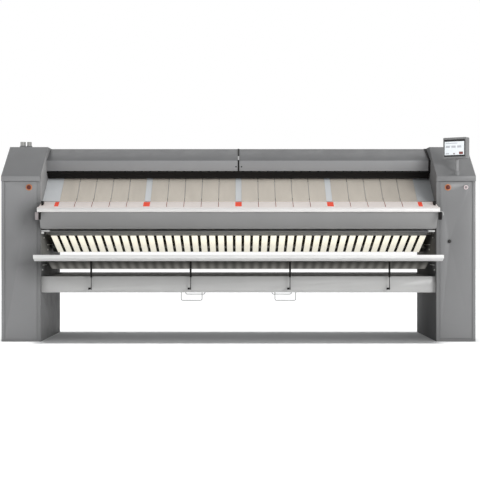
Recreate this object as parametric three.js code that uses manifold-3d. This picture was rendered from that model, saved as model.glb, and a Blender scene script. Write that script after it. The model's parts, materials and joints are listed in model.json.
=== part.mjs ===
// A flatwork ironer: a steam-heated cylinder lies between two side cabinets, narrow ironing belts
// hold the linen against its back, a table with feed belts leads in at the front, and a receiving
// shelf, a guide sheet and a tray lie below. Millimetres, +X right, +Y back, +Z up. Places are
// worked out with the cabinets' front at y = 0 and the floor at z = 0, and the group at the end
// moves the whole to the middle of its own floor area.
import * as THREE from 'three';
import { mergeVertices } from 'three/addons/utils/BufferGeometryUtils.js';
import Module from 'manifold-3d';

const wasm = await Module();
wasm.setup();

// ---- Driving dimensions -------------------------------------------------------------------
// Cabinets and frame
const OPENING = 3440;             // clear width between the cabinets
const CABINET_WIDTH = 340;
const CABINET_DEPTH = 1245;
const CABINET_HEIGHT = 1722;
const COVER_FRONT_HEIGHT = 1436;  // top of the covers' front lip
const COVER_LIP = 43;             // height of the front lip
const COVER_SLOPE_END = 434;      // depth at which the covers turn flat
const COVER_OVERHANG = 20;        // covers in front of the doors
const COVER_FLANGE = 25;          // folded edge of a cover along the cabinet's side
const DOOR_BOTTOM = 26;
const DOOR_THICK = 22;
const DOOR_JOINT = 2;             // gap from a door to what is round it
const STILE = 30;                 // fixed upright edges beside a door
const LIP_RETURN = 26;            // depth of the covers' return over the doors
const POST_SETBACK = 26;          // front of the frame's uprights
const SHEET = 3;                  // folded sheet of covers, doors and panels
const FRAME_PLATE = 12;           // the side frames' inner plates
const FRAME_TUBE = 40;            // the side frames' square tubes
const BASE_RAIL = 60;
const SEAT = 0.3;                 // gap between pieces that rest on each other
const RUNNING = 1;                // radial gap of a shaft in its hole

// Heated roll, its bearings and its drive
const ROLL_RADIUS = 250;
const ROLL_CLEARANCE = 50;        // roll's ends to the sides of the opening
const ROLL_WALL = 12;
const ROLL_END = 20;              // end plates of the roll
const ROLL_Y = 760;
const ROLL_DROP = 432;            // roll's axis below the top of the cabinets
const JOURNAL_RADIUS = 45;
const JOURNAL_BORE = 18;          // radius of the steam passage through the journals
const BEARING_RADIUS = 75;
const BEARING_WIDTH = 50;
const BEARING_FLANGE = 190;
const GEARBOX_RADIUS = 125;
const GEARBOX_WIDTH = 110;
const MOTOR_RADIUS = 78;
const MOTOR_LENGTH = 290;
const TERMINAL_BOX = 90;
const NOZZLE_RADIUS = 22;
const STEAM_JOINT_RADIUS = 46;
const STEAM_PIPE_RADIUS = 21;
const CONDENSATE_PIPE_RADIUS = 25;
const PIPE_INSET = 217;           // steam pipe's middle from the cabinet's inner side
const PIPE_WALL = 4;
const PIPE_RISE = 70;             // pipe stubs above the left cover

// Ironing belts and their rollers
const BELT_COUNT = 43;
const BELT_WIDTH = 52.6;
const BELT_PITCH = 77.7;
const BELT_THICK = 3;
const BELT_GAP = 0.5;             // from a belt to a roller, and to the roll
const ROLLER_RADIUS = 45;
const ROLLER_JOURNAL = 15;
const ROLLER_END_GAP = 20;        // from a roller's face to the side frame
const INFEED_GAP = 65;            // from the infeed roller to the roll
const INFEED_ANGLE = 123.7;       // of the infeed roller, seen from the roll's axis
const EXIT_FORWARD = 565;         // exit roller in front of and below the roll's axis
const EXIT_DROP = 318;
const LOWER_FORWARD = 83;         // lower roller in front of and below the roll's axis
const LOWER_DROP = 469;
const REAR_CLEARANCE = 32;        // belts to the back of the cabinets
const REAR_LOW_DROP = 390;        // rear rollers below and above the roll's axis
const REAR_HIGH_RISE = 270;
const BELT_REST_HEIGHT = 40;      // bar that the belts run over at the back
const BELT_REST_THICK = 10;

// Feed table
const FEED_SLOPE = 34;            // degrees
const FEED_AXES = 372;            // between the feed rollers' axes
const FEED_ROLLER_RADIUS = 30;
const FEED_BELT_THICK = 2.5;
const FEED_BELT_WIDTH = 145;
const FEED_BELT_GAP = 5;
const FEED_LANES = 4;
const FEED_BELTS_IN_LANE = 5;
const FEED_LANE_PITCH = 798;
const FEED_GAP = 45;              // from the feed belts to the roll
const FEED_ANGLE = 158.6;         // of the rear feed roller, seen from the roll's axis
const FEED_BED_THICK = 46;
const SLIDER_THICK = 4;
const NOSE_GAP = 7;               // from the feed belts to the nose plate
const NOSE_RISE = 17;             // nose plate's back edge above the front feed roller's axis
const NOSE_SLOPE = 12.9;
const NOSE_DEPTH = 232;
const BAR_DEPTH = 46;
const BAR_HEIGHT = 43;
const BAR_REACH = 10;             // the front bar beyond the opening, each side
const APRON_DROP = 146;
const APRON_DEPTH = 104;
const APRON_CORNER = 18;
const APRON_GAP = 1;              // apron's edges inside the opening
const APRON_THICK = 2.5;
const END_CAP_HEIGHT = 68;
const END_CAP_WIDTH = 30;
const END_CAP_REACH = 18;         // caps beyond the bar's ends
const END_CAP_DEPTH = 26;

// Hood and finger guard
const HOOD_DROP = 4;              // hood's top below the top of the cabinets
const HOOD_TOP_FRONT = 634;
const HOOD_BEND_Y = 345;
const HOOD_BEND_RISE = 304;       // bend and lip above the roll's axis
const HOOD_LIP_Y = 365;
const HOOD_LIP_RISE = 212;
const HOOD_LIP_RETURN = 14;
const HOOD_JOINT = 1;             // between the two hood halves
const HOOD_STRIP_WIDTH = 13;
const GUARD_TUBE = 7;
const GUARD_DROP = 47;            // blade's edge below the guard's axis
const GUARD_REACH = 24;           // blade's edge behind the guard's axis
const GUARD_BLADE = 5;
const GUARD_PIN = 6;

// Exit, shelf, tray
const EXIT_SLOT = 18;             // between the apron and the exit chute
const CHUTE_REACH = 70;           // the chute's sheet ends short of the opening by this, each side
const CHUTE_RISE = 28;
const CHUTE_FALL = 38;
const CHUTE_CLEARANCE = 9;        // to the exit belts
const CHUTE_SHEET = 2.5;
const CHUTE_BAR = 15;
const CHUTE_BAR_INSET = 70;       // bar behind the chute's front edge
const GUIDE_FRONT_Y = 300;
const GUIDE_FRONT_DROP = 588;     // guide sheet's heights, below the roll's axis
const GUIDE_BEND_Y = 430;
const GUIDE_BEND_DROP = 594;
const GUIDE_SLOPE_Y = 560;
const GUIDE_SLOPE_DROP = 632;
const GUIDE_LOW_Y = 700;
const GUIDE_LOW_DROP = 669;
const GUIDE_BACK_DROP = 681;
const GUIDE_BACK_GAP = 10;        // guide sheet to the back of the cabinets
const GUIDE_SHEET = 2;
const REAR_PANEL_DROP = 495;      // rear panel's lower edge below the roll's axis
const PANEL_RETURN = 18;
const TRAY_FRONT = 48;
const TRAY_DROP = 725;            // tray's deck below the roll's axis
const TRAY_PANEL_HEIGHT = 140;
const TRAY_BACK_RISE = 10;        // tray's back edge above its deck
const TRAY_BACK_GAP = 14;         // tray to the back of the cabinets
const RACK_INNER = 320;           // nearest and farthest wires from the middle
const RACK_OUTER = 499;
const RACK_WIRE = 3.5;            // radius
const RACK_RUNNER = 5;            // radius of the long wires under the tray's deck
const RACK_FRONT_DEPTH = 209;     // hoops below the tray's deck
const RACK_BACK_DEPTH = 193;
const RACK_BACK = 1050;
const RACK_CORNER = 12;
const SHELF_FRONT = -230;
const SHELF_DROP = 535;           // shelf's front edge below the roll's axis
const SHELF_FACE = 27;            // upright part of the shelf's front
const SHELF_LIP_DEPTH = 77;
const SHELF_LIP_DROP = 27;
const SHELF_WING = 30;            // front beam beyond the opening, each side
const SHELF_GAP = 8;              // shelf to the side frames
const SHELF_SHEET = 2;
const SHELF_PIVOT_Y = 350;
const SHELF_PIVOT_DROP = 20;      // below the shelf's front edge
const SHELF_TUBE = 12;
const SHELF_PIN = 8;
const STRUT_PITCH = 864.5;
const STRUT_SHIFT = 16;           // struts beside their lugs, to the right
const STRUT_COUNT = 4;
const STRUT_Y = 8;
const STRUT_TOP_DROP = 20;        // upper pins below the shelf's front edge
const STRUT_FOOT_DROP = 105;      // lower pins below the tray's deck
const STRUT_RADIUS = 8.5;
const STRUT_BORE = 6;
const STRUT_CYLINDER = 177;       // from the upper pin to the cylinder's mouth
const STRUT_ROD = 3.2;
const STRUT_ROD_REACH = 99;       // from the upper pin to the rod's end
const STRUT_EYE = 10;
const STRUT_EYE_WIDTH = 8;
const STRUT_PIN = 4.5;
const LUG_THICK = 4;

// Controls
const ESTOP_INSET = 100;          // emergency stops and lock from the opening
const BUTTON_DROP = 51;           // buttons below the doors' top
const ESTOP_RING = 29;
const ESTOP_HEAD = 19;
const ESTOP_TRAVEL = 5;
const START_INSET = 84;           // start button from the cabinet's outer side
const START_RING = 19;
const START_CAP = 11;
const START_TRAVEL = 3;
const RING_THICK = 4;
const STEM_RADIUS = 8;
const LOCK_INSET = 113;
const LOCK_Z = 871;
const LOCK_RADIUS = 15;
const HINGE_INSET = 9;            // door's pins from its outer edge
const HINGE_SETBACK = 8;          // and from its front
const HINGE_PIN = 4;
const POST_INSET = 158;           // screen's post from the cabinet's outer side
const POST_Y = 15;
const POST_RADIUS = 15.5;
const POST_COLLAR = 24;
const SCREEN_WIDTH = 215;
const SCREEN_HEIGHT = 183;
const SCREEN_DEPTH = 70;
const SCREEN_RISE = 154;          // screen above the top of the covers' front lip
const SCREEN_SHIFT = 8;           // screen's middle beside the post, to the left
const SCREEN_YAW = 34;            // degrees, towards the middle of the machine
const SCREEN_SIDE_EDGE = 3;       // housing round the glass
const SCREEN_BOTTOM_EDGE = 17;
const SCREEN_TOP_EDGE = 17;
const SCREEN_PIVOT_RISE = 24;     // tilt axis above the screen's bottom
const TONGUE = 14;

// ---- Places that follow from them ---------------------------------------------------------
const RAD = Math.PI / 180;
const INNER = OPENING / 2;
const OUTER = INNER + CABINET_WIDTH;
const SPAN = INNER - SEAT;                    // half length of what reaches from frame to frame
const FRAME_OUT = INNER + FRAME_PLATE;
const LIP_BOTTOM = COVER_FRONT_HEIGHT - COVER_LIP;
const DOOR_TOP = LIP_BOTTOM - DOOR_JOINT;
const BUTTON_Z = DOOR_TOP - BUTTON_DROP;
const postX = OUTER - POST_INSET;
const estopX = INNER + ESTOP_INSET;
const startX = OUTER - START_INSET;
const lockX = INNER + LOCK_INSET;
const PLINTH_TOP = DOOR_BOTTOM - DOOR_JOINT;
const FRAME_BACK = CABINET_DEPTH - SHEET - SEAT;
const TUBE_OUT = OUTER - SHEET - SEAT;        // outer faces of the frame's tubes
const PIN_OUT = FRAME_OUT + 6;                // ends of the journals and pins in the side plates
const hingeX = OUTER - STILE - DOOR_JOINT / 2 - HINGE_INSET;

const coverSlope = Math.atan2(CABINET_HEIGHT - COVER_FRONT_HEIGHT, COVER_SLOPE_END + COVER_OVERHANG);

function polar(centre, distance, degrees) {
  return { y: centre.y + distance * Math.cos(degrees * RAD), z: centre.z + distance * Math.sin(degrees * RAD) };
}

const roll = { y: ROLL_Y, z: CABINET_HEIGHT - ROLL_DROP };
const rearRollerY = CABINET_DEPTH - REAR_CLEARANCE - BELT_THICK - ROLLER_RADIUS;
const infeedRoller = polar(roll, ROLL_RADIUS + INFEED_GAP + ROLLER_RADIUS, INFEED_ANGLE);
const exitRoller = { y: ROLL_Y - EXIT_FORWARD, z: roll.z - EXIT_DROP };
const lowerRoller = { y: ROLL_Y - LOWER_FORWARD, z: roll.z - LOWER_DROP };
const rearLowRoller = { y: rearRollerY, z: roll.z - REAR_LOW_DROP };
const rearHighRoller = { y: rearRollerY, z: roll.z + REAR_HIGH_RISE };
const beltRollers = [infeedRoller, exitRoller, lowerRoller, rearLowRoller, rearHighRoller];

const feedOuter = FEED_ROLLER_RADIUS + BELT_GAP + FEED_BELT_THICK;
const feedBack = polar(roll, ROLL_RADIUS + FEED_GAP + feedOuter, FEED_ANGLE);
const feedFront = polar(feedBack, -FEED_AXES, FEED_SLOPE);

const noseBack = { y: feedFront.y - feedOuter - NOSE_GAP, z: feedFront.z + NOSE_RISE };
const noseFront = { y: noseBack.y - NOSE_DEPTH, z: noseBack.z - NOSE_DEPTH * Math.tan(NOSE_SLOPE * RAD) };
const barFront = noseFront.y - BAR_DEPTH / 2;
const barBack = barFront + BAR_DEPTH;
const barBottom = noseFront.z - BAR_HEIGHT;
const apronBottom = { y: barBack + APRON_DEPTH, z: barBottom - APRON_DROP };
const chuteFront = { y: apronBottom.y, z: apronBottom.z - EXIT_SLOT };
const chuteBack = exitRoller.y - ROLLER_RADIUS - BELT_GAP - BELT_THICK - CHUTE_CLEARANCE;

const hoodTop = CABINET_HEIGHT - HOOD_DROP;
const hoodLip = { y: HOOD_LIP_Y, z: roll.z + HOOD_LIP_RISE };
const guardAxis = { y: hoodLip.y + GUARD_TUBE + 2, z: hoodLip.z - GUARD_TUBE - SHEET - 2 };
const shelfTop = roll.z - SHELF_DROP;
const shelfPivot = { y: SHELF_PIVOT_Y, z: shelfTop - SHELF_PIVOT_DROP };
const trayTop = roll.z - TRAY_DROP;
const strutTop = shelfTop - STRUT_TOP_DROP;
const strutFoot = trayTop - STRUT_FOOT_DROP;
const strutXs = Array.from({ length: STRUT_COUNT }, (_, i) => (
  (i - (STRUT_COUNT - 1) / 2) * STRUT_PITCH + STRUT_SHIFT));
const screenBottom = COVER_FRONT_HEIGHT + SCREEN_RISE;

// ---- Geometry helpers ---------------------------------------------------------------------
// A closed mesh with shared vertices and its faces pointing out, whatever way it was swept.
function closed(geometry) {
  const bare = geometry.clone();
  bare.deleteAttribute('normal');
  bare.deleteAttribute('uv');
  const merged = mergeVertices(bare);
  const place = merged.getAttribute('position');
  const kept = [];
  let volume = 0;
  const [a, b, c] = [new THREE.Vector3(), new THREE.Vector3(), new THREE.Vector3()];
  for (let i = 0; i < merged.index.count; i += 3) {
    const corners = [0, 1, 2].map((k) => merged.index.getX(i + k));
    if (new Set(corners).size < 3) continue;
    kept.push(corners);
    a.fromBufferAttribute(place, corners[0]);
    b.fromBufferAttribute(place, corners[1]);
    c.fromBufferAttribute(place, corners[2]);
    volume += a.dot(b.cross(c));
  }
  merged.setIndex(kept.flatMap(([p, q, r]) => (volume < 0 ? [p, r, q] : [p, q, r])));
  return merged;
}

function solid(geometry) {
  const mesh = closed(geometry);
  const vertProperties = new Float32Array(mesh.getAttribute('position').array);
  return new wasm.Manifold(new wasm.Mesh({ numProp: 3, vertProperties, triVerts: new Uint32Array(mesh.index.array) }));
}

function surface(manifold) {
  const mesh = manifold.getMesh();
  const geometry = new THREE.BufferGeometry();
  geometry.setAttribute('position', new THREE.BufferAttribute(mesh.vertProperties, mesh.numProp));
  geometry.setIndex(new THREE.BufferAttribute(mesh.triVerts, 1));
  return geometry;
}

const join = (...pieces) => surface(pieces.map(solid).reduce((whole, piece) => whole.add(piece)));
const cut = (piece, ...tools) => surface(tools.map(solid).reduce((whole, tool) => whole.subtract(tool), solid(piece)));

function box(x0, x1, y0, y1, z0, z1) {
  const geometry = new THREE.BoxGeometry(x1 - x0, y1 - y0, z1 - z0);
  return geometry.translate((x0 + x1) / 2, (y0 + y1) / 2, (z0 + z1) / 2);
}

const outline = (points) => new THREE.Shape(points.map(([a, b]) => new THREE.Vector2(a, b)));

// An outline in the side view (y, z), swept along X.
function prismX(shape, x0, x1) {
  const geometry = new THREE.ExtrudeGeometry(shape, { depth: x1 - x0, bevelEnabled: false, curveSegments: 3 });
  const turn = new THREE.Matrix4().makeBasis(
    new THREE.Vector3(0, 1, 0), new THREE.Vector3(0, 0, 1), new THREE.Vector3(1, 0, 0));
  return geometry.applyMatrix4(turn).translate(x0, 0, 0);
}

// An outline in the front view (x, z), swept along Y.
function prismY(shape, y0, y1, curveSegments = 4) {
  const geometry = new THREE.ExtrudeGeometry(shape, { depth: y1 - y0, bevelEnabled: false, curveSegments });
  return geometry.rotateX(Math.PI / 2).translate(0, y1, 0);
}

function roundedRectangle(width, height, radius) {
  const shape = new THREE.Shape();
  const [w, h] = [width / 2, height / 2];
  shape.moveTo(-w + radius, -h);
  shape.lineTo(w - radius, -h).absarc(w - radius, -h + radius, radius, -Math.PI / 2, 0);
  shape.lineTo(w, h - radius).absarc(w - radius, h - radius, radius, 0, Math.PI / 2);
  shape.lineTo(-w + radius, h).absarc(-w + radius, h - radius, radius, Math.PI / 2, Math.PI);
  shape.lineTo(-w, -h + radius).absarc(-w + radius, -h + radius, radius, Math.PI, 1.5 * Math.PI);
  return shape;
}

// A profile of [radius, place along the axis] pairs, turned about X, Y or Z.
function turned(axis, profile, segments) {
  const geometry = new THREE.LatheGeometry(profile.map(([r, h]) => new THREE.Vector2(r, h)), segments);
  if (axis === 'x') geometry.rotateZ(-Math.PI / 2);
  if (axis === 'z') geometry.rotateX(Math.PI / 2);
  return geometry;
}

const rod = (axis, radius, from, to, segments = 12) => (
  turned(axis, [[0, from], [radius, from], [radius, to], [0, to]], segments));

const ring = (axis, outer, inner, from, to, segments) => (
  turned(axis, [[inner, from], [outer, from], [outer, to], [inner, to], [inner, from]], segments));

// Shifts a path of [a, b] points sideways, to the left for a positive distance, with mitred corners.
function offset(points, distance, loop = false) {
  const count = points.length;
  const heading = (i) => {
    const [p, q] = [points[(i + count) % count], points[(i + 1) % count]];
    return Math.atan2(q[1] - p[1], q[0] - p[0]);
  };
  return points.map(([a, b], i) => {
    const before = !loop && i === 0 ? heading(0) : heading(i - 1);
    const after = !loop && i === count - 1 ? heading(count - 2) : heading(i);
    const half = Math.atan2(Math.sin(after - before), Math.cos(after - before)) / 2;
    const side = before + half + Math.PI / 2;
    const reach = distance / Math.cos(half);
    return [a + reach * Math.cos(side), b + reach * Math.sin(side)];
  });
}

// A folded sheet: its outer face follows the path, and its thickness goes to the right of it.
function folded(path, thickness, x0, x1) {
  return prismX(outline([...path, ...offset(path, -thickness).reverse()]), x0, x1);
}

// A round wire or pipe through points that lie in one plane, with mitred bends.
function wire(points, normal, radius, sides = 6) {
  const across = new THREE.Vector3(...normal);
  const spots = points.map((p) => new THREE.Vector3(...p));
  const heading = (i) => spots[i + 1].clone().sub(spots[i]).normalize();
  const positions = [];
  spots.forEach((spot, i) => {
    const before = heading(Math.max(i - 1, 0));
    const after = heading(Math.min(i, spots.length - 2));
    const along = before.clone().add(after).normalize();
    const inPlane = new THREE.Vector3().crossVectors(across, along);
    const stretch = 1 / along.dot(before);
    for (let k = 0; k < sides; k += 1) {
      const angle = (2 * Math.PI * k) / sides;
      const point = spot.clone().addScaledVector(across, radius * Math.cos(angle));
      positions.push(...point.addScaledVector(inPlane, radius * stretch * Math.sin(angle)).toArray());
    }
  });
  const faces = [];
  for (let i = 0; i + 1 < spots.length; i += 1) {
    for (let k = 0; k < sides; k += 1) {
      const [p, q] = [i * sides + k, i * sides + ((k + 1) % sides)];
      faces.push(p, q, q + sides, p, q + sides, p + sides);
    }
  }
  const last = (spots.length - 1) * sides;
  for (let k = 1; k + 1 < sides; k += 1) {
    faces.push(0, k + 1, k, last, last + k, last + k + 1);
  }
  const geometry = new THREE.BufferGeometry();
  geometry.setAttribute('position', new THREE.Float32BufferAttribute(positions, 3));
  geometry.setIndex(faces);
  return geometry;
}

// The path of a belt round pulleys {y, z, radius, turn, corners}: turn is 1 where the belt turns
// left round the pulley and -1 where it turns right. Each arc is cut into corners that lie
// outside the pulley's circle.
function beltPath(pulleys) {
  const count = pulleys.length;
  const headings = pulleys.map((from, i) => {
    const to = pulleys[(i + 1) % count];
    const [dy, dz] = [to.y - from.y, to.z - from.z];
    const shift = to.turn * to.radius - from.turn * from.radius;
    return Math.atan2(dz, dy) - Math.asin(shift / Math.hypot(dy, dz));
  });
  return pulleys.flatMap(({ y, z, radius, turn, corners }, i) => {
    const before = headings[(i + count - 1) % count];
    const bend = (turn * (headings[i] - before) + 4 * Math.PI) % (2 * Math.PI);
    const reach = radius / Math.cos(bend / corners / 2);
    return Array.from({ length: corners }, (_, k) => {
      const side = before + turn * ((bend * (k + 0.5)) / corners - Math.PI / 2);
      return [y + reach * Math.cos(side), z + reach * Math.sin(side)];
    });
  });
}

// A belt as a ring with its own thickness, x0 to x1.
function beltRing(path, thickness, x0, x1) {
  const shape = outline(offset(path, -thickness / 2, true));
  shape.holes.push(outline(offset(path, thickness / 2, true)));
  return prismX(shape, x0, x1);
}

const mirrored = (geometry) => geometry.clone().scale(-1, 1, 1);

// Height of the covers' outer face over a depth y, less a sheet and gap measured square to it.
function underCover(y, depth) {
  const slope = COVER_FRONT_HEIGHT + (y + COVER_OVERHANG) * Math.tan(coverSlope) - depth / Math.cos(coverSlope);
  return Math.min(slope, CABINET_HEIGHT - depth);
}

// Side outline from the front to a given back, with its top a set depth under the covers' outer
// face, and a notch in front for the covers' lip.
function sideOutline(back, bottom, depth) {
  const notch = LIP_RETURN + SEAT;
  const bend = COVER_SLOPE_END + depth * Math.tan(coverSlope / 2);
  const top = CABINET_HEIGHT - depth;
  return outline([
    [0, bottom], [back, bottom], [back, top], [bend, top], [notch, underCover(notch, depth)],
    [notch, LIP_BOTTOM - SEAT], [0, LIP_BOTTOM - SEAT]]);
}

// A hole in a side outline: its flats touch the circle, so what turns in it stays clear.
function hole(shape, { y, z }, radius, segments = 8) {
  const reach = radius / Math.cos(Math.PI / segments);
  const round = Array.from({ length: segments }, (_, i) => {
    const angle = (2 * Math.PI * (i + 0.5)) / segments;
    return [y + reach * Math.cos(angle), z + reach * Math.sin(angle)];
  });
  shape.holes.push(outline(round));
}

// ---- Cabinets and frame -------------------------------------------------------------------
// A side frame: the inner plate that carries every shaft, with the upright edge and the plinth
// that show beside and under the door, and square tubes round the outside.
function sideFrame() {
  const plate = sideOutline(FRAME_BACK, 0, SHEET + SEAT);
  hole(plate, roll, JOURNAL_RADIUS + 4 * RUNNING, 16);
  [...beltRollers, feedBack, feedFront].forEach((roller) => hole(plate, roller, ROLLER_JOURNAL + SEAT));
  hole(plate, guardAxis, GUARD_PIN + SEAT);
  hole(plate, shelfPivot, SHELF_PIN + SEAT);
  const tubeIn = TUBE_OUT - FRAME_TUBE;
  const railFront = POST_SETBACK + 10;
  const tubeBack = FRAME_BACK - FRAME_TUBE;
  const backTop = CABINET_HEIGHT - COVER_FLANGE - SHEET;
  const postBack = POST_SETBACK + FRAME_TUBE;
  const socket = rod('z', HINGE_PIN + RUNNING, 0, DOOR_BOTTOM, 8);
  return cut(join(
    prismX(plate, INNER, FRAME_OUT),
    box(INNER, INNER + STILE, 0, SHEET, 0, LIP_BOTTOM - SEAT),
    box(INNER, OUTER, 0, SHEET, 0, PLINTH_TOP),
    box(FRAME_OUT - 1, TUBE_OUT, 0, railFront + 1, PLINTH_TOP - SHEET, PLINTH_TOP),
    box(FRAME_OUT - 1, TUBE_OUT, railFront, railFront + BASE_RAIL, 0, BASE_RAIL),
    box(FRAME_OUT - 1, TUBE_OUT, FRAME_BACK - BASE_RAIL, FRAME_BACK, 0, BASE_RAIL),
    box(tubeIn, TUBE_OUT, railFront, FRAME_BACK, 0, FRAME_TUBE),
    box(tubeIn, TUBE_OUT, POST_SETBACK, postBack, PLINTH_TOP - 1, DOOR_TOP),
    box(tubeIn, TUBE_OUT, tubeBack, FRAME_BACK, 0, backTop),
    box(FRAME_OUT - 1, TUBE_OUT, POST_SETBACK, postBack, DOOR_TOP - FRAME_TUBE, DOOR_TOP),
    box(FRAME_OUT - 1, TUBE_OUT, tubeBack, FRAME_BACK, backTop - FRAME_TUBE, backTop),
  ), socket.translate(hingeX, HINGE_SETBACK, 0));
}

// The outer skin of a cabinet: its side, its back and the upright edge on the door's outer side.
function cabinetShell() {
  const bottom = PLINTH_TOP + SEAT;
  const side = sideOutline(CABINET_DEPTH, bottom, SHEET + COVER_FLANGE + SEAT);
  const backTop = CABINET_HEIGHT - COVER_FLANGE - SHEET - SEAT;
  return join(
    prismX(side, OUTER - SHEET, OUTER),
    box(INNER, OUTER, CABINET_DEPTH - SHEET, CABINET_DEPTH, bottom, backTop),
    box(OUTER - STILE + DOOR_JOINT, OUTER, 0, SHEET, bottom, LIP_BOTTOM - SEAT),
  );
}

// A cover: its sheet runs from the lip's return under the front, up the slope and over the top.
function topCover() {
  const path = [
    [LIP_RETURN, LIP_BOTTOM], [-COVER_OVERHANG, LIP_BOTTOM], [-COVER_OVERHANG, COVER_FRONT_HEIGHT],
    [COVER_SLOPE_END, CABINET_HEIGHT], [CABINET_DEPTH, CABINET_HEIGHT],
    [CABINET_DEPTH, CABINET_HEIGHT - COVER_FLANGE - SHEET],
  ];
  const slopeAndTop = path.slice(2, 5);
  const flange = outline([...slopeAndTop, ...offset(slopeAndTop, -SHEET - COVER_FLANGE).reverse()]);
  const lip = outline([[-COVER_OVERHANG, LIP_BOTTOM], [LIP_RETURN, LIP_BOTTOM],
    [LIP_RETURN, underCover(LIP_RETURN, SHEET)], [-COVER_OVERHANG, COVER_FRONT_HEIGHT - SHEET]]);
  return join(
    folded(path, SHEET, INNER, OUTER),
    prismX(flange, OUTER - SHEET, OUTER),
    prismX(lip, OUTER - SHEET, OUTER),
    prismX(lip, INNER, INNER + SHEET),
  );
}

// The right cover has the door's upper socket and the screen post's collar.
function rightCover() {
  const collarFoot = underCover(POST_Y - POST_COLLAR, 0);
  const collarTop = underCover(POST_Y + POST_COLLAR, 0) + 8;
  const collar = rod('z', POST_COLLAR, collarFoot - 10, collarTop, 16).translate(postX, POST_Y, 0);
  const bore = rod('z', POST_RADIUS + RUNNING, collarFoot - 6, collarTop + 1, 16).translate(postX, POST_Y, 0);
  const socket = rod('z', HINGE_PIN + RUNNING, DOOR_TOP, LIP_BOTTOM + 2 * SHEET, 8)
    .translate(hingeX, HINGE_SETBACK, 0);
  return cut(join(topCover(), collar), bore, socket);
}

// The left cover has a cone round each of the two pipes that come through it.
function leftCover() {
  const cones = [[-steamPipeAt, STEAM_PIPE_RADIUS], [-condensatePipeAt, CONDENSATE_PIPE_RADIUS]];
  const skirts = cones.map(([x, radius]) => turned('z', [
    [0, CABINET_HEIGHT - SHEET], [radius + 16, CABINET_HEIGHT - SHEET],
    [radius + 4, CABINET_HEIGHT + 34], [0, CABINET_HEIGHT + 34]], 12).translate(x, roll.y, 0));
  const bores = cones.map(([x, radius]) => (
    rod('z', radius + RUNNING, CABINET_HEIGHT - 20, CABINET_HEIGHT + 40).translate(x, roll.y, 0)));
  return cut(join(mirrored(topCover()), ...skirts), ...bores);
}

// A front panel: a tray of folded sheet between the upright edges, with a ring for each button.
function frontPanel(bottom, depth, controls) {
  const [left, right] = [INNER + STILE + DOOR_JOINT, OUTER - STILE - DOOR_JOINT / 2];
  const [x, z] = [(left + right) / 2, (DOOR_TOP + bottom) / 2];
  const skin = prismY(roundedRectangle(right - left, DOOR_TOP - bottom, 4), 0, depth, 2).translate(x, 0, z);
  const inside = box(left + SHEET, right - SHEET, SHEET, depth + 1, bottom + SHEET, DOOR_TOP - SHEET);
  const rings = controls.filter(({ ring: size }) => size > 0)
    .map(({ at, height: level, ring: size }) => rod('y', size, -RING_THICK, SHEET).translate(at, 0, level));
  const holes = controls.map(({ at, height: level }) => (
    rod('y', STEM_RADIUS + RUNNING, -RING_THICK - 1, SHEET + 1, 8).translate(at, 0, level)));
  return cut(join(cut(skin, inside), ...rings), ...holes);
}

const estopControl = { at: estopX, height: BUTTON_Z, ring: ESTOP_RING };
const startControl = { at: startX, height: BUTTON_Z, ring: START_RING };
const lockControl = { at: lockX, height: LOCK_Z, ring: 0 };

// The right door hangs on two pins: one in the plinth and one in the cover's return.
function rightDoor() {
  const pins = [
    rod('z', HINGE_PIN, PLINTH_TOP - SHEET, DOOR_BOTTOM + SHEET, 8),
    rod('z', HINGE_PIN, DOOR_TOP - SHEET, LIP_BOTTOM + SHEET, 8),
  ].map((pin) => pin.translate(hingeX, HINGE_SETBACK, 0));
  return join(frontPanel(DOOR_BOTTOM, DOOR_THICK, [estopControl, startControl, lockControl]), ...pins);
}

const leftPanel = () => mirrored(frontPanel(PLINTH_TOP + SEAT, POST_SETBACK - SEAT, [estopControl]));

function rearPanel() {
  const [bottom, top] = [roll.z - REAR_PANEL_DROP, hoodTop - SHEET - SEAT];
  const back = CABINET_DEPTH - SHEET - SEAT;
  const tray = box(-SPAN, SPAN, back - PANEL_RETURN, back, bottom, top);
  const inside = box(-SPAN + SHEET, SPAN - SHEET, back - PANEL_RETURN - 1, back - SHEET, bottom + SHEET, top - SHEET);
  return cut(tray, inside);
}

// ---- Hood and finger guard ----------------------------------------------------------------
const hoodPath = [
  [hoodLip.y + HOOD_LIP_RETURN, hoodLip.z], [hoodLip.y, hoodLip.z], [HOOD_BEND_Y, roll.z + HOOD_BEND_RISE],
  [HOOD_TOP_FRONT, hoodTop], [CABINET_DEPTH, hoodTop],
  [CABINET_DEPTH, hoodTop - COVER_FLANGE],
];

const hoodHalf = () => folded(hoodPath, SHEET, HOOD_JOINT / 2, SPAN);

function hoodStrip() {
  const outer = offset(hoodPath.slice(1, 5), SHEET);
  const inner = offset(hoodPath.slice(1, 5), SEAT);
  return prismX(outline([...outer, ...inner.reverse()]), -HOOD_STRIP_WIDTH / 2, HOOD_STRIP_WIDTH / 2);
}

function fingerGuard() {
  const length = INNER - SHELF_GAP;
  const edge = [guardAxis.y + GUARD_REACH, guardAxis.z - GUARD_DROP];
  const centreLine = [[guardAxis.y, guardAxis.z], edge];
  const blade = outline([...offset(centreLine, GUARD_BLADE / 2), ...offset(centreLine, -GUARD_BLADE / 2).reverse()]);
  return join(
    prismX(blade, -length, length),
    rod('x', GUARD_TUBE, -length, length, 8).translate(0, guardAxis.y, guardAxis.z),
    rod('x', GUARD_BLADE, -length, length, 8).translate(0, ...edge),
    rod('x', GUARD_PIN, -PIN_OUT, PIN_OUT, 8).translate(0, guardAxis.y, guardAxis.z),
  );
}

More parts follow.
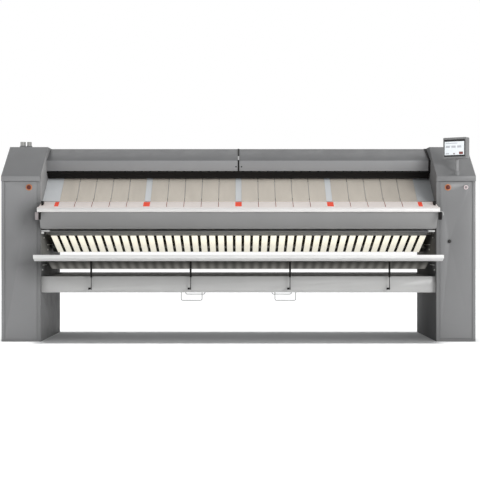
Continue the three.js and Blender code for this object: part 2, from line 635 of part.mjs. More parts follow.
// ---- Heated roll and drive ----------------------------------------------------------------
const bearingFace = FRAME_OUT + SEAT;
const pulleyFace = bearingFace + BEARING_WIDTH + 14;
const PULLEY_WIDTH = 22;
const gearboxFace = bearingFace + BEARING_WIDTH + 12;
const journalRight = gearboxFace + GEARBOX_WIDTH + 8;
const journalLeft = pulleyFace + PULLEY_WIDTH + 6;
const steamJointFace = journalLeft + 8;
const steamPipeAt = INNER + PIPE_INSET;
const steamJointEnd = steamPipeAt + STEAM_PIPE_RADIUS + 12;
const condensatePipeAt = steamJointEnd + CONDENSATE_PIPE_RADIUS + RUNNING;

// One closed wall: a tube with end plates, its journals bored through for the steam.
function heatedRoll() {
  const half = INNER - ROLL_CLEARANCE;
  const inside = half - ROLL_END;
  return turned('x', [
    [JOURNAL_BORE, -steamJointFace - 30], [NOZZLE_RADIUS, -steamJointFace - 30], [NOZZLE_RADIUS, -journalLeft],
    [JOURNAL_RADIUS, -journalLeft], [JOURNAL_RADIUS, -half], [ROLL_RADIUS, -half], [ROLL_RADIUS, half],
    [JOURNAL_RADIUS, half], [JOURNAL_RADIUS, journalRight], [JOURNAL_BORE, journalRight],
    [JOURNAL_BORE, inside], [ROLL_RADIUS - ROLL_WALL, inside], [ROLL_RADIUS - ROLL_WALL, -inside],
    [JOURNAL_BORE, -inside], [JOURNAL_BORE, -steamJointFace - 30],
  ], 28).translate(0, roll.y, roll.z);
}

// A flanged bearing: a square flange with rounded corners, bolted to the side frame, and its hub.
function rollBearing() {
  const corner = BEARING_FLANGE / 5;
  const flange = prismX(roundedRectangle(BEARING_FLANGE, BEARING_FLANGE, corner), bearingFace, bearingFace + 16);
  const hub = rod('x', BEARING_RADIUS, bearingFace, bearingFace + BEARING_WIDTH, 16);
  const bore = rod('x', JOURNAL_RADIUS + 3 * RUNNING, bearingFace - 1, bearingFace + BEARING_WIDTH + 1);
  return cut(join(flange, hub), bore).translate(0, roll.y, roll.z);
}

// A bevel gear motor with a hollow shaft on the right journal and an arm to the side frame.
function gearMotor() {
  const middle = gearboxFace + GEARBOX_WIDTH / 2;
  const housing = rod('x', GEARBOX_RADIUS, gearboxFace, gearboxFace + GEARBOX_WIDTH, 16);
  const neck = box(middle - GEARBOX_WIDTH / 2, middle + GEARBOX_WIDTH / 2, -MOTOR_RADIUS, MOTOR_RADIUS,
    -GEARBOX_RADIUS - 20, 0);
  const motorTop = -GEARBOX_RADIUS - 20;
  const motor = turned('z', [
    [0, motorTop - MOTOR_LENGTH], [MOTOR_RADIUS - 8, motorTop - MOTOR_LENGTH],
    [MOTOR_RADIUS, motorTop - MOTOR_LENGTH + 14], [MOTOR_RADIUS, motorTop - 30], [MOTOR_RADIUS - 12, motorTop - 22],
    [MOTOR_RADIUS + 10, motorTop - 14], [MOTOR_RADIUS + 10, motorTop + 1], [0, motorTop + 1]], 12);
  motor.translate(middle, 0, 0);
  const terminals = box(middle - TERMINAL_BOX / 2, middle + TERMINAL_BOX / 2, -MOTOR_RADIUS - TERMINAL_BOX / 2,
    -MOTOR_RADIUS + 20, motorTop - 80 - TERMINAL_BOX, motorTop - 80);
  const arm = box(bearingFace, gearboxFace + 20, GEARBOX_RADIUS - 30, GEARBOX_RADIUS + 40, -20, 20);
  const bore = rod('x', JOURNAL_RADIUS + RUNNING, gearboxFace - 1, gearboxFace + GEARBOX_WIDTH + 1, 16);
  return cut(join(housing, neck, motor, terminals, arm), bore).translate(0, roll.y, roll.z);
}

// A V-belt from the roll to the back feed roller. The pulleys' pitch radii are in the ratio of the
// surfaces that carry the linen, so that both run at one speed.
const SMALL_PITCH = 22;
const GROOVE = 8;                 // depth of a groove, centred on the pitch radius
const RIM = 3;
const largePitch = (SMALL_PITCH * ROLL_RADIUS) / feedOuter;

// The large pulley has a rim on a thin web, and its hub sits on the left journal.
function rollPulley() {
  const [near, far] = [-pulleyFace, -pulleyFace - PULLEY_WIDTH];
  const middle = (near + far) / 2;
  const hub = JOURNAL_RADIUS + 20;
  const bore = JOURNAL_RADIUS + RUNNING;
  const root = largePitch - GROOVE / 2 - BELT_GAP;
  const edge = largePitch + GROOVE / 2 + RIM;
  return turned('x', [
    [bore, near], [edge, near], [edge, near - 3], [root, middle + 3], [root, middle - 3], [edge, far + 3],
    [edge, far], [root - 6, far], [root - 6, near - 8], [hub, near - 8], [hub, far], [bore, far], [bore, near],
  ], 20).translate(0, roll.y, roll.z);
}

function smallPulley() {
  const [near, far] = [-pulleyFace, -pulleyFace - PULLEY_WIDTH];
  const middle = (near + far) / 2;
  const root = SMALL_PITCH - GROOVE / 2 - BELT_GAP;
  const edge = SMALL_PITCH + GROOVE / 2 + RIM;
  return turned('x', [
    [0, 2 - PIN_OUT], [ROLLER_JOURNAL - 3, 2 - PIN_OUT], [ROLLER_JOURNAL - 3, near], [edge, near], [edge, near - 3],
    [root, middle + 3], [root, middle - 3], [edge, far + 3], [edge, far], [0, far]], 12);
}

function driveBelt() {
  const middle = -pulleyFace - PULLEY_WIDTH / 2;
  const path = beltPath([
    { ...roll, radius: largePitch, turn: 1, corners: 12 },
    { ...feedBack, radius: SMALL_PITCH, turn: 1, corners: 3 },
  ]);
  return beltRing(path, GROOVE - 1, middle - 2.5, middle + 2.5);
}

// A rotary joint on the left journal's nozzle: steam enters from above, condensate leaves at the end.
function steamJoint() {
  const [near, far] = [-steamJointFace, -steamJointEnd];
  const body = turned('x', [
    [0, far], [STEAM_JOINT_RADIUS - 14, far], [STEAM_JOINT_RADIUS - 14, far + 14], [STEAM_JOINT_RADIUS, far + 18],
    [STEAM_JOINT_RADIUS, near], [0, near]], 12);
  const port = rod('z', STEAM_PIPE_RADIUS + 8, 0, STEAM_JOINT_RADIUS + 14).translate(-steamPipeAt, 0, 0);
  const bore = rod('x', NOZZLE_RADIUS + 2 * RUNNING, near - 34, near + 1);
  return cut(join(body, port), bore).translate(0, roll.y, roll.z);
}

const pipeTop = CABINET_HEIGHT + PIPE_RISE;
const MOUTH_DEPTH = 60;

function steamPipe() {
  const foot = roll.z + STEAM_JOINT_RADIUS + 14 + SEAT;
  const inner = STEAM_PIPE_RADIUS - PIPE_WALL;
  return turned('z', [
    [0, foot], [STEAM_PIPE_RADIUS, foot], [STEAM_PIPE_RADIUS, pipeTop], [inner, pipeTop],
    [inner, pipeTop - MOUTH_DEPTH], [0, pipeTop - MOUTH_DEPTH]], 12).translate(-steamPipeAt, roll.y, 0);
}

// The condensate pipe leaves the joint's end and turns up through the cover.
function condensatePipe() {
  const at = -condensatePipeAt;
  const route = [[-steamJointEnd - SEAT, roll.y, roll.z], [at, roll.y, roll.z], [at, roll.y, pipeTop]];
  const mouth = rod('z', CONDENSATE_PIPE_RADIUS - PIPE_WALL, pipeTop - MOUTH_DEPTH, pipeTop + 1);
  return cut(wire(route, [0, 1, 0], CONDENSATE_PIPE_RADIUS, 12), mouth.translate(at, roll.y, 0));
}

// ---- Ironing belts and rollers ------------------------------------------------------------
// A roller between the side frames, with a journal at each end that turns in the side plates.
function plainRoller({ y, z }, radius) {
  const face = INNER - ROLLER_END_GAP;
  return turned('x', [
    [0, -PIN_OUT], [ROLLER_JOURNAL, -PIN_OUT], [ROLLER_JOURNAL, -face], [radius, -face], [radius, face],
    [ROLLER_JOURNAL, face], [ROLLER_JOURNAL, PIN_OUT], [0, PIN_OUT]], 12).translate(0, y, z);
}

const beltRoller = (place) => plainRoller(place, ROLLER_RADIUS);

// All ironing belts, side by side, on the bar that they slide over between the two rear rollers.
function ironingBelts() {
  const round = ROLLER_RADIUS + BELT_GAP + BELT_THICK / 2;
  const inside = (place, corners) => ({ ...place, radius: round, turn: 1, corners });
  const path = beltPath([
    inside(infeedRoller, 2),
    { ...roll, radius: ROLL_RADIUS + BELT_GAP + BELT_THICK / 2, turn: -1, corners: 5 },
    inside(exitRoller, 3),
    inside(lowerRoller, 1),
    inside(rearLowRoller, 1),
    inside(rearHighRoller, 1),
  ]);
  const belts = Array.from({ length: BELT_COUNT }, (_, i) => {
    const x = (i - (BELT_COUNT - 1) / 2) * BELT_PITCH;
    return beltRing(path, BELT_THICK, x - BELT_WIDTH / 2, x + BELT_WIDTH / 2);
  });
  const innerFace = rearRollerY + ROLLER_RADIUS + BELT_GAP;
  const rest = box(-SPAN, SPAN, innerFace - BELT_REST_THICK, innerFace + 0.2,
    roll.z - BELT_REST_HEIGHT / 2, roll.z + BELT_REST_HEIGHT / 2);
  return join(rest, ...belts);
}

// ---- Feed table ---------------------------------------------------------------------------
// Feed pieces are drawn with the back roller's axis as origin and the belts level, then tilted.
function tilted(geometry) {
  return geometry.rotateX(FEED_SLOPE * RAD).translate(0, feedBack.y, feedBack.z);
}

const laneWidth = FEED_BELTS_IN_LANE * FEED_BELT_WIDTH + (FEED_BELTS_IN_LANE - 1) * FEED_BELT_GAP;
const laneMiddle = (lane) => (lane - (FEED_LANES - 1) / 2) * FEED_LANE_PITCH;
const sliderTop = FEED_ROLLER_RADIUS + BELT_GAP;
const bedTop = sliderTop - SLIDER_THICK - SEAT;
const bedFront = -FEED_AXES + FEED_ROLLER_RADIUS + 18;
const bedBack = -FEED_ROLLER_RADIUS - 18;

// The bed fills the belts' inside, and carries the strips that show between the lanes.
function feedBed() {
  const bed = box(-SPAN, SPAN, bedFront, bedBack, bedTop - FEED_BED_THICK, bedTop);
  const top = feedOuter - 0.5;
  const gaps = [[-SPAN, laneMiddle(0) - laneWidth / 2]];
  for (let lane = 1; lane < FEED_LANES; lane += 1) {
    gaps.push([laneMiddle(lane - 1) + laneWidth / 2, laneMiddle(lane) - laneWidth / 2]);
  }
  gaps.push([laneMiddle(FEED_LANES - 1) + laneWidth / 2, SPAN]);
  const strips = gaps.flatMap(([from, to]) => [
    box(from + 1, to - (to === SPAN ? 0 : 1), -FEED_AXES - 8, 8, FEED_ROLLER_RADIUS + SEAT, top),
    box(from + 1, to - (to === SPAN ? 0 : 1), bedFront, bedBack, bedTop - 1, top),
  ]);
  return tilted(join(bed, ...strips));
}

// One lane: belts side by side on the sheet that they slide over.
function feedLane(lane) {
  const path = beltPath([
    { y: 0, z: 0, radius: feedOuter - FEED_BELT_THICK / 2, turn: 1, corners: 3 },
    { y: -FEED_AXES, z: 0, radius: feedOuter - FEED_BELT_THICK / 2, turn: 1, corners: 3 },
  ]);
  const left = laneMiddle(lane) - laneWidth / 2;
  const belts = Array.from({ length: FEED_BELTS_IN_LANE }, (_, i) => {
    const x = left + i * (FEED_BELT_WIDTH + FEED_BELT_GAP);
    return beltRing(path, FEED_BELT_THICK, x, x + FEED_BELT_WIDTH);
  });
  const slider = box(left, left + laneWidth, bedFront, bedBack, sliderTop - SLIDER_THICK, sliderTop + 0.2);
  return tilted(join(slider, ...belts));
}

const feedRoller = (place) => plainRoller(place, FEED_ROLLER_RADIUS);

function drivenFeedRoller() {
  const driver = smallPulley().translate(0, feedBack.y, feedBack.z);
  return join(feedRoller(feedBack), driver);
}

// Nose plate and front bar: one folded section, the bar a little longer than the opening.
function feedNose() {
  const corner = 8;
  const plate = [
    [noseBack.y, noseBack.z], [noseFront.y, noseFront.z], [barFront + corner / 2, noseFront.z - corner],
  ];
  const bar = outline([
    [noseFront.y + corner, noseFront.z - 0.5], [noseFront.y, noseFront.z], [barFront + corner / 2, noseFront.z - corner],
    [barFront, noseFront.z - 2 * corner], [barFront, barBottom + corner], [barFront + corner, barBottom],
    [barBack, barBottom], [barBack, noseFront.z - 0.5],
  ]);
  const sheet = outline([...plate, ...offset(plate, SHEET).reverse()]);
  return join(prismX(sheet, -SPAN, SPAN), prismX(bar, -INNER - BAR_REACH, INNER + BAR_REACH));
}

// The apron hangs behind the bar, with its lower corners rounded.
function apron() {
  const length = Math.hypot(APRON_DROP, APRON_DEPTH) - 4;
  const half = INNER - APRON_GAP;
  const face = new THREE.Shape();
  face.moveTo(-half, 0);
  face.lineTo(-half, -length + APRON_CORNER);
  face.absarc(-half + APRON_CORNER, -length + APRON_CORNER, APRON_CORNER, Math.PI, 1.5 * Math.PI);
  face.lineTo(half - APRON_CORNER, -length);
  face.absarc(half - APRON_CORNER, -length + APRON_CORNER, APRON_CORNER, 1.5 * Math.PI, 2 * Math.PI);
  face.lineTo(half, 0);
  const lean = Math.atan2(APRON_DEPTH, APRON_DROP);
  return prismY(face, -APRON_THICK, 0, 6).rotateX(lean).translate(0, barBack - 2, barBottom - SEAT);
}

// Dark caps under the ends of the front bar, each hooked under it.
function endCap() {
  const right = INNER + BAR_REACH + END_CAP_REACH;
  const profile = outline([
    [barFront + 8, barBottom - SEAT], [barFront + 8, barBottom - END_CAP_HEIGHT * 0.6],
    [barFront + 8 + END_CAP_DEPTH * 0.6, barBottom - END_CAP_HEIGHT],
    [barFront + 8 + END_CAP_DEPTH, barBottom - END_CAP_HEIGHT * 0.8], [barFront + 8 + END_CAP_DEPTH, barBottom - SEAT],
  ]);
  return prismX(profile, right - END_CAP_WIDTH, right);
}

// ---- Exit, shelf and tray -----------------------------------------------------------------
// The exit chute: a folded sheet, its upper side sloping to the front and its lower side to the
// back, on a bar that reaches the side frames.
function exitChute() {
  const front = [chuteFront.y, chuteFront.z];
  const upper = [chuteBack, chuteFront.z + CHUTE_RISE];
  const lower = [chuteBack, chuteFront.z - CHUTE_FALL];
  const sheet = outline([lower, front, upper, ...offset([lower, front, upper], -CHUTE_SHEET).reverse()]);
  const barFrontY = chuteFront.y + CHUTE_BAR_INSET;
  const rise = (CHUTE_RISE * CHUTE_BAR_INSET) / (chuteBack - chuteFront.y);
  const barTop = chuteFront.z + rise - CHUTE_SHEET / 2;
  const bar = box(-SPAN, SPAN, barFrontY, barFrontY + CHUTE_BAR, barTop - CHUTE_BAR, barTop);
  return join(prismX(sheet, -INNER + CHUTE_REACH, INNER - CHUTE_REACH), bar);
}

// Polished sheet under the belts that leads linen to the tray.
function guideSheet() {
  const back = CABINET_DEPTH - GUIDE_BACK_GAP;
  const spots = [
    [GUIDE_FRONT_Y, GUIDE_FRONT_DROP + 12], [GUIDE_FRONT_Y, GUIDE_FRONT_DROP], [GUIDE_BEND_Y, GUIDE_BEND_DROP],
    [GUIDE_SLOPE_Y, GUIDE_SLOPE_DROP], [GUIDE_LOW_Y, GUIDE_LOW_DROP], [back, GUIDE_BACK_DROP],
    [back, GUIDE_BACK_DROP - 14],
  ];
  return folded(spots.map(([y, drop]) => [y, roll.z - drop]), GUIDE_SHEET, -SPAN, SPAN);
}

// A lug beside a strut's eye, as high and deep as given, with the pin that the eye turns on.
function strutLug(x, back, bottom, top, pinHeight) {
  const side = x - STRUT_EYE_WIDTH / 2 - 2;
  const pin = rod('x', STRUT_PIN, side - 1, side + STRUT_EYE_WIDTH + 4, 8);
  return [
    box(side - LUG_THICK, side, STRUT_Y - STRUT_EYE + 2, back, bottom, top),
    pin.translate(0, STRUT_Y, pinHeight),
  ];
}

function collectingTray() {
  const back = CABINET_DEPTH - TRAY_BACK_GAP;
  const bottom = trayTop - TRAY_PANEL_HEIGHT;
  const path = [
    [TRAY_FRONT + 14, bottom], [TRAY_FRONT, bottom], [TRAY_FRONT, trayTop], [back, trayTop],
    [back, trayTop + TRAY_BACK_RISE],
  ];
  const lugs = strutXs.flatMap((x) => (
    strutLug(x, TRAY_FRONT + 1, strutFoot - STRUT_EYE + 2, strutFoot + STRUT_EYE - 2, strutFoot)));
  return join(folded(path, SHEET, -SPAN, SPAN), ...lugs);
}

// Wire rack under the tray: a hoop in front, one at the back, and two long wires under the deck.
function wireRack() {
  const wireTop = trayTop - SHEET - RACK_RUNNER - SEAT;
  const front = TRAY_FRONT + SHEET + 14 + RACK_WIRE;
  const hoop = (y, bottom) => {
    const corner = RACK_CORNER;
    return wire([
      [RACK_INNER, y, wireTop], [RACK_INNER, y, bottom + corner], [RACK_INNER + corner * 0.3, y, bottom + corner * 0.3],
      [RACK_INNER + corner, y, bottom], [RACK_OUTER - corner, y, bottom],
      [RACK_OUTER - corner * 0.3, y, bottom + corner * 0.3], [RACK_OUTER, y, bottom + corner], [RACK_OUTER, y, wireTop],
    ], [0, 1, 0], RACK_WIRE);
  };
  const long = [RACK_INNER, RACK_OUTER].map((x) => (
    rod('y', RACK_RUNNER, front - 5, RACK_BACK + 5, 8).translate(x, 0, wireTop)));
  return join(hoop(front, trayTop - RACK_FRONT_DEPTH), hoop(RACK_BACK, trayTop - RACK_BACK_DEPTH), ...long);
}

// The receiving shelf: a deck that pivots at the back, with a deep front beam across the cabinets.
function receivingShelf() {
  const deckBack = [shelfPivot.y, shelfPivot.z + SHELF_TUBE];
  const face = [[SHELF_FRONT, shelfTop - SHELF_FACE], [SHELF_FRONT, shelfTop]];
  const lip = [SHELF_FRONT + SHELF_LIP_DEPTH, shelfTop - SHELF_FACE - SHELF_LIP_DROP];
  const wing = INNER + SHELF_WING;
  const half = INNER - SHELF_GAP;
  const beamTop = shelfTop - ((shelfTop - deckBack[1]) * SHELF_LIP_DEPTH) / (deckBack[0] - SHELF_FRONT);
  const beam = folded([lip, ...face, [lip[0], beamTop]], SHELF_SHEET, -wing, wing);
  const deck = folded([[SHELF_FRONT + SHELF_SHEET, shelfTop], deckBack], SHELF_SHEET, -half, half);
  const end = outline([lip, ...face, [lip[0], beamTop]]);
  const tube = rod('x', SHELF_TUBE, -half, half, 8).translate(0, shelfPivot.y, shelfPivot.z);
  const pins = rod('x', SHELF_PIN, -PIN_OUT, PIN_OUT, 8).translate(0, shelfPivot.y, shelfPivot.z);
  const lugTop = shelfTop - SHELF_SHEET / 2;
  const lugs = strutXs.flatMap((x) => (
    strutLug(x, STRUT_Y + STRUT_EYE - 2, strutTop - STRUT_EYE + 2, lugTop, strutTop)));
  return join(beam, deck, prismX(end, -wing, -wing + SHELF_SHEET), prismX(end, wing - SHELF_SHEET, wing),
    tube, pins, ...lugs);
}

// A gas strut: a cylinder open below on the shelf's pin, and a rod on the tray's pin.
function strutCylinder(x) {
  const shoulder = strutTop - STRUT_EYE;
  const mouth = strutTop - STRUT_CYLINDER;
  const body = turned('z', [
    [0, shoulder - 10], [STRUT_BORE, shoulder - 10], [STRUT_BORE, mouth], [STRUT_RADIUS, mouth],
    [STRUT_RADIUS, shoulder - 2], [STRUT_EYE_WIDTH / 2, shoulder + 1], [0, shoulder + 1]], 8);
  const half = STRUT_EYE_WIDTH / 2;
  const eye = rod('x', STRUT_EYE, -half, half, 8).translate(0, 0, strutTop);
  const bore = rod('x', STRUT_PIN + RUNNING, -half - 1, half + 1, 8).translate(0, 0, strutTop);
  return cut(join(body, eye), bore).translate(x, STRUT_Y, 0);
}

function strutRod(x) {
  const half = STRUT_EYE_WIDTH / 2;
  const shaft = rod('z', STRUT_ROD, strutFoot + STRUT_EYE - 3, strutTop - STRUT_ROD_REACH, 8);
  const eye = rod('x', STRUT_EYE, -half, half, 8).translate(0, 0, strutFoot);
  const bore = rod('x', STRUT_PIN + RUNNING, -half - 1, half + 1, 8).translate(0, 0, strutFoot);
  return cut(join(shaft, eye), bore).translate(x, STRUT_Y, 0);
}

// ---- Controls -----------------------------------------------------------------------------
// Buttons slide through their rings: the gap under the head is the travel and a little more.
function estopButton(x) {
  const gap = ESTOP_TRAVEL + 1;
  const face = -RING_THICK - gap;
  return turned('y', [
    [0, face - 16], [ESTOP_HEAD * 0.7, face - 14], [ESTOP_HEAD, face - 8], [ESTOP_HEAD, face], [STEM_RADIUS, face],
    [STEM_RADIUS, SHEET + 8], [0, SHEET + 8]], 12).translate(x, 0, BUTTON_Z);
}

function startButton() {
  const face = -RING_THICK - START_TRAVEL - 1;
  return turned('y', [
    [0, face - 4], [START_CAP - 2, face - 4], [START_CAP, face - 2], [START_CAP, face], [STEM_RADIUS, face],
    [STEM_RADIUS, SHEET + 8], [0, SHEET + 8]], 12).translate(startX, 0, BUTTON_Z);
}

// Quarter-turn lock: a round knob with a grip across it, and a cam behind the door's sheet.
function doorLock() {
  const knob = turned('y', [
    [0, -12], [LOCK_RADIUS - 2, -12], [LOCK_RADIUS, -10], [LOCK_RADIUS, -SEAT], [STEM_RADIUS, -SEAT],
    [STEM_RADIUS, SHEET + 10], [0, SHEET + 10]], 12);
  const grip = box(-3, 3, -22, -11, -LOCK_RADIUS + 2, LOCK_RADIUS - 2);
  const cam = box(-STEM_RADIUS, STEM_RADIUS, SHEET + 3, SHEET + 8, -STEM_RADIUS, 45);
  return join(knob, grip, cam).translate(lockX, 0, LOCK_Z);
}

const tiltAxis = screenBottom + SCREEN_PIVOT_RISE;
const postShoulder = screenBottom - 8;

// The post turns in the right cover's collar; its tongue carries the screen.
function screenPost() {
  const foot = underCover(POST_Y - POST_COLLAR, 0) - 6 + SEAT;
  const tube = rod('z', POST_RADIUS, foot, postShoulder, 16);
  const tongue = box(-TONGUE / 2, TONGUE / 2, -10, 10, postShoulder - 2, tiltAxis);
  const head = rod('x', 10, -TONGUE / 2, TONGUE / 2, 12).translate(0, 0, tiltAxis);
  const bore = rod('x', 5 + RUNNING, -TONGUE, TONGUE, 8).translate(0, 0, tiltAxis);
  return cut(join(tube, tongue, head), bore);
}

function screenHousing() {
  const middle = screenBottom + SCREEN_HEIGHT / 2;
  const front = -SCREEN_DEPTH / 2;
  const shell = prismY(roundedRectangle(SCREEN_WIDTH, SCREEN_HEIGHT, 6), front, -front, 2)
    .translate(-SCREEN_SHIFT, 0, middle);
  const [left, right] = [-SCREEN_SHIFT - SCREEN_WIDTH / 2, -SCREEN_SHIFT + SCREEN_WIDTH / 2];
  const glass = box(left + SCREEN_SIDE_EDGE, right - SCREEN_SIDE_EDGE, front - 1, front + 2,
    screenBottom + SCREEN_BOTTOM_EDGE, screenBottom + SCREEN_HEIGHT - SCREEN_TOP_EDGE);
  const pocket = box(-TONGUE / 2 - 3, TONGUE / 2 + 3, -28, 28, screenBottom - 1, tiltAxis + 16);
  const pin = rod('x', 5, -TONGUE / 2 - 6, TONGUE / 2 + 6, 8).translate(0, 0, tiltAxis);
  return join(cut(shell, glass, pocket), pin);
}

// ---- Materials ----------------------------------------------------------------------------
const finish = (color, roughness, metalness) => () => new THREE.MeshStandardMaterial({ color, roughness, metalness });
const cabinetGrey = finish(0x8f8f8f, 0.5, 0.1);
const coverGrey = finish(0x7e7e7e, 0.45, 0.1);
const frameGrey = finish(0x707070, 0.6, 0.2);
const hoodGrey = finish(0x8a8a8a, 0.45, 0.2);
const white = finish(0xe4e4e0, 0.4, 0.05);
const black = finish(0x161514, 0.5, 0.1);
const polished = finish(0xc8c8c6, 0.2, 0.9);
const castGrey = finish(0x4a4e52, 0.6, 0.4);
const beltCream = finish(0xf2e8d0, 0.9, 0);
const feedBelt = finish(0xbfb6a8, 0.85, 0);
const stainless = finish(0x9a9c9c, 0.3, 0.8);
const red = finish(0xb01c12, 0.4, 0);

// ---- Assembly -----------------------------------------------------------------------------
const machine = new THREE.Group();

function add(name, geometry, material, parent = machine) {
  const mesh = new THREE.Mesh(closed(geometry), material());
  mesh.geometry.computeVertexNormals();
  mesh.name = name;
  parent.add(mesh);
}

add('side_frame_left', mirrored(sideFrame()), frameGrey);
add('side_frame_right', sideFrame(), frameGrey);
add('cabinet_shell_left', mirrored(cabinetShell()), cabinetGrey);
add('cabinet_shell_right', cabinetShell(), cabinetGrey);
add('top_cover_left', leftCover(), coverGrey);
add('top_cover_right', rightCover(), coverGrey);
add('front_panel_left', leftPanel(), cabinetGrey);
add('front_door_right', rightDoor(), cabinetGrey);
add('rear_panel', rearPanel(), cabinetGrey);
add('hood_left', mirrored(hoodHalf()), hoodGrey);
add('hood_right', hoodHalf(), hoodGrey);
add('hood_joint_strip', hoodStrip(), black);
add('finger_guard', fingerGuard(), black);

add('heated_roll', heatedRoll(), polished);
add('roll_bearing_left', mirrored(rollBearing()), castGrey);
add('roll_bearing_right', rollBearing(), castGrey);
add('gear_motor', gearMotor(), castGrey);
add('roll_pulley', rollPulley(), castGrey);
add('feed_drive_belt', driveBelt(), black);
add('steam_joint', steamJoint(), castGrey);
add('steam_inlet_pipe', steamPipe(), stainless);
add('condensate_pipe', condensatePipe(), stainless);

add('ironing_belts', ironingBelts(), beltCream);
add('infeed_roller', beltRoller(infeedRoller), stainless);
add('exit_roller', beltRoller(exitRoller), stainless);
add('lower_belt_roller', beltRoller(lowerRoller), stainless);
add('rear_lower_roller', beltRoller(rearLowRoller), stainless);
add('rear_upper_roller', beltRoller(rearHighRoller), stainless);

add('feed_bed', feedBed(), stainless);
for (let lane = 0; lane < FEED_LANES; lane += 1) add(`feed_belts_${lane + 1}`, feedLane(lane), feedBelt);
add('feed_roller_front', feedRoller(feedFront), stainless);
add('feed_roller_back', drivenFeedRoller(), stainless);
add('feed_nose', feedNose(), white);
add('apron', apron(), hoodGrey);
add('bar_end_cap_left', mirrored(endCap()), black);
add('bar_end_cap_right', endCap(), black);

add('exit_chute', exitChute(), hoodGrey);
add('guide_sheet', guideSheet(), stainless);
add('collecting_tray', collectingTray(), white);
add('wire_rack_left', mirrored(wireRack()), stainless);
add('wire_rack_right', wireRack(), stainless);
add('receiving_shelf', receivingShelf(), white);
strutXs.forEach((x, i) => {
  add(`strut_cylinder_${i + 1}`, strutCylinder(x), black);
  add(`strut_rod_${i + 1}`, strutRod(x), black);
});

add('estop_left', estopButton(-estopX), red);
add('estop_right', estopButton(estopX), red);
add('start_button', startButton(), black);
add('door_lock', doorLock(), black);

const screen = new THREE.Group();
screen.position.set(postX, POST_Y, 0);
screen.rotation.z = -SCREEN_YAW * RAD;
add('screen_post', screenPost(), cabinetGrey, screen);
add('screen_housing', screenHousing(), coverGrey, screen);
machine.add(screen);

machine.position.y = -(SHELF_FRONT + CABINET_DEPTH) / 2;
const group = new THREE.Group();
group.add(machine);
export default group;
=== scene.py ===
"""Looks of a flatwork ironer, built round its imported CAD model. Runs inside Blender 4.5.

Places are written in millimetres in the machine's own layout: x from its middle to the operator's
right, y from the front of the cabinets to the back, z from the floor. at() turns them into the
frame's metres.
"""

import json
import math

import bmesh
import bpy
from bpy.props import FloatProperty, FloatVectorProperty, IntProperty, PointerProperty
from mathutils import Matrix, Vector


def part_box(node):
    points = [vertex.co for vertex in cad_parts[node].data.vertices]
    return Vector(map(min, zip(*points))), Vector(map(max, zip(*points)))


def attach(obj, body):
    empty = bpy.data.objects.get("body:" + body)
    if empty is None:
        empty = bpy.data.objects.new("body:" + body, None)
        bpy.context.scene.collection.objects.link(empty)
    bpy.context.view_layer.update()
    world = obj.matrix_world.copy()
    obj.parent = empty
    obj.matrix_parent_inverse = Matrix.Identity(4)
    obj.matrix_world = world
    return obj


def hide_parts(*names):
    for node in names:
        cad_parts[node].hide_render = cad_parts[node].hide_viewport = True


bl_info = {
    "name": "Flatwork ironer",
    "version": (1, 0, 0),
    "blender": (4, 5, 0),
    "location": "View3D > Sidebar > Ironer",
    "description": "Dresses the packed flatwork ironer with its belts, rolls, panels and fittings",
    "category": "Object",
}

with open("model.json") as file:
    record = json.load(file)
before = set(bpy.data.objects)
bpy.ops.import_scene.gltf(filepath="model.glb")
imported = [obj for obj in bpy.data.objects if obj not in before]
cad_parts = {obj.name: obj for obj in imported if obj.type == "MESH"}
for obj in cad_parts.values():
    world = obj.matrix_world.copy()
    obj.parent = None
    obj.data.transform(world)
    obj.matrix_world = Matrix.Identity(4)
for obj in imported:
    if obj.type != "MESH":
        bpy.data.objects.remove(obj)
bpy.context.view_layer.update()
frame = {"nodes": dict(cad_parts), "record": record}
NODES = frame["nodes"]
BODIES = frame["record"]["behaviour"]["bodies"]
BODY_OF = {node: body for body, nodes in BODIES.items() for node in nodes}

MM = 0.001
SHIFT_Y = -507.5          # the frame's origin lies this far behind the cabinets' front
INNER = 1720.0            # from the machine's middle to a cabinet's inner side
SHELF_PIN, TRAY_PIN = 735.0, 460.0     # heights of the struts' pins
HOOD_BEND, HOOD_TOP = (345.0, 1594.0), (634.0, 1718.0)

# Places in (y, z) are those of an axis or of an edge along x
ROLL = (760.0, 1290.0)
ROLL_RADIUS = 250.0
ROLLER_RADIUS = 45.0
FEED_ROLLER_RADIUS = 30.0
FEED_AXES = 372.0         # between the feed rollers
FEED_TILT = 34.0          # of the feed table, in degrees
BELT_THICK = 3.0
FEED_BELT_THICK = 2.5
BELT_SEAT = 0.5           # gap between a belt and its rollers

SMOOTH_BELOW = 32.0       # degrees between faces that are shaded as one curve
SMOOTH_EDGES = 50.0       # the same, on pieces with rounded edges
WIRE_SIDES = 12


def at(x, y, z):
    """A machine place in millimetres as a point of the frame in metres."""
    return Vector((x * MM, (y + SHIFT_Y) * MM, z * MM))


def polar(centre, distance, degrees):
    """The (y, z) place at a distance and angle from another."""
    angle = math.radians(degrees)
    return (centre[0] + distance * math.cos(angle), centre[1] + distance * math.sin(angle))


INFEED = polar(ROLL, 360.0, 123.7)
EXIT = (195.0, 972.0)
LOWER = (677.0, 821.0)
REAR_LOW = (1165.0, 900.0)
REAR_HIGH = (1165.0, 1560.0)
FEED_BACK = polar(ROLL, 328.0, 158.6)
FEED_FRONT = polar(FEED_BACK, -FEED_AXES, FEED_TILT)
BELT_ROLLERS = {"infeed_roller": INFEED, "exit_roller": EXIT, "lower_belt_roller": LOWER,
                "rear_lower_roller": REAR_LOW, "rear_upper_roller": REAR_HIGH}


def corners(node):
    """Low and high corner of a CAD node in the frame, in millimetres."""
    return [Vector(v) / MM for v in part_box(node)]


# ---- Materials ------------------------------------------------------------------------------
def linear(colour):
    """An sRGB colour of 0 to 1 as the linear values that a shader takes."""
    return [c / 12.92 if c <= 0.04045 else ((c + 0.055) / 1.055) ** 2.4 for c in colour]


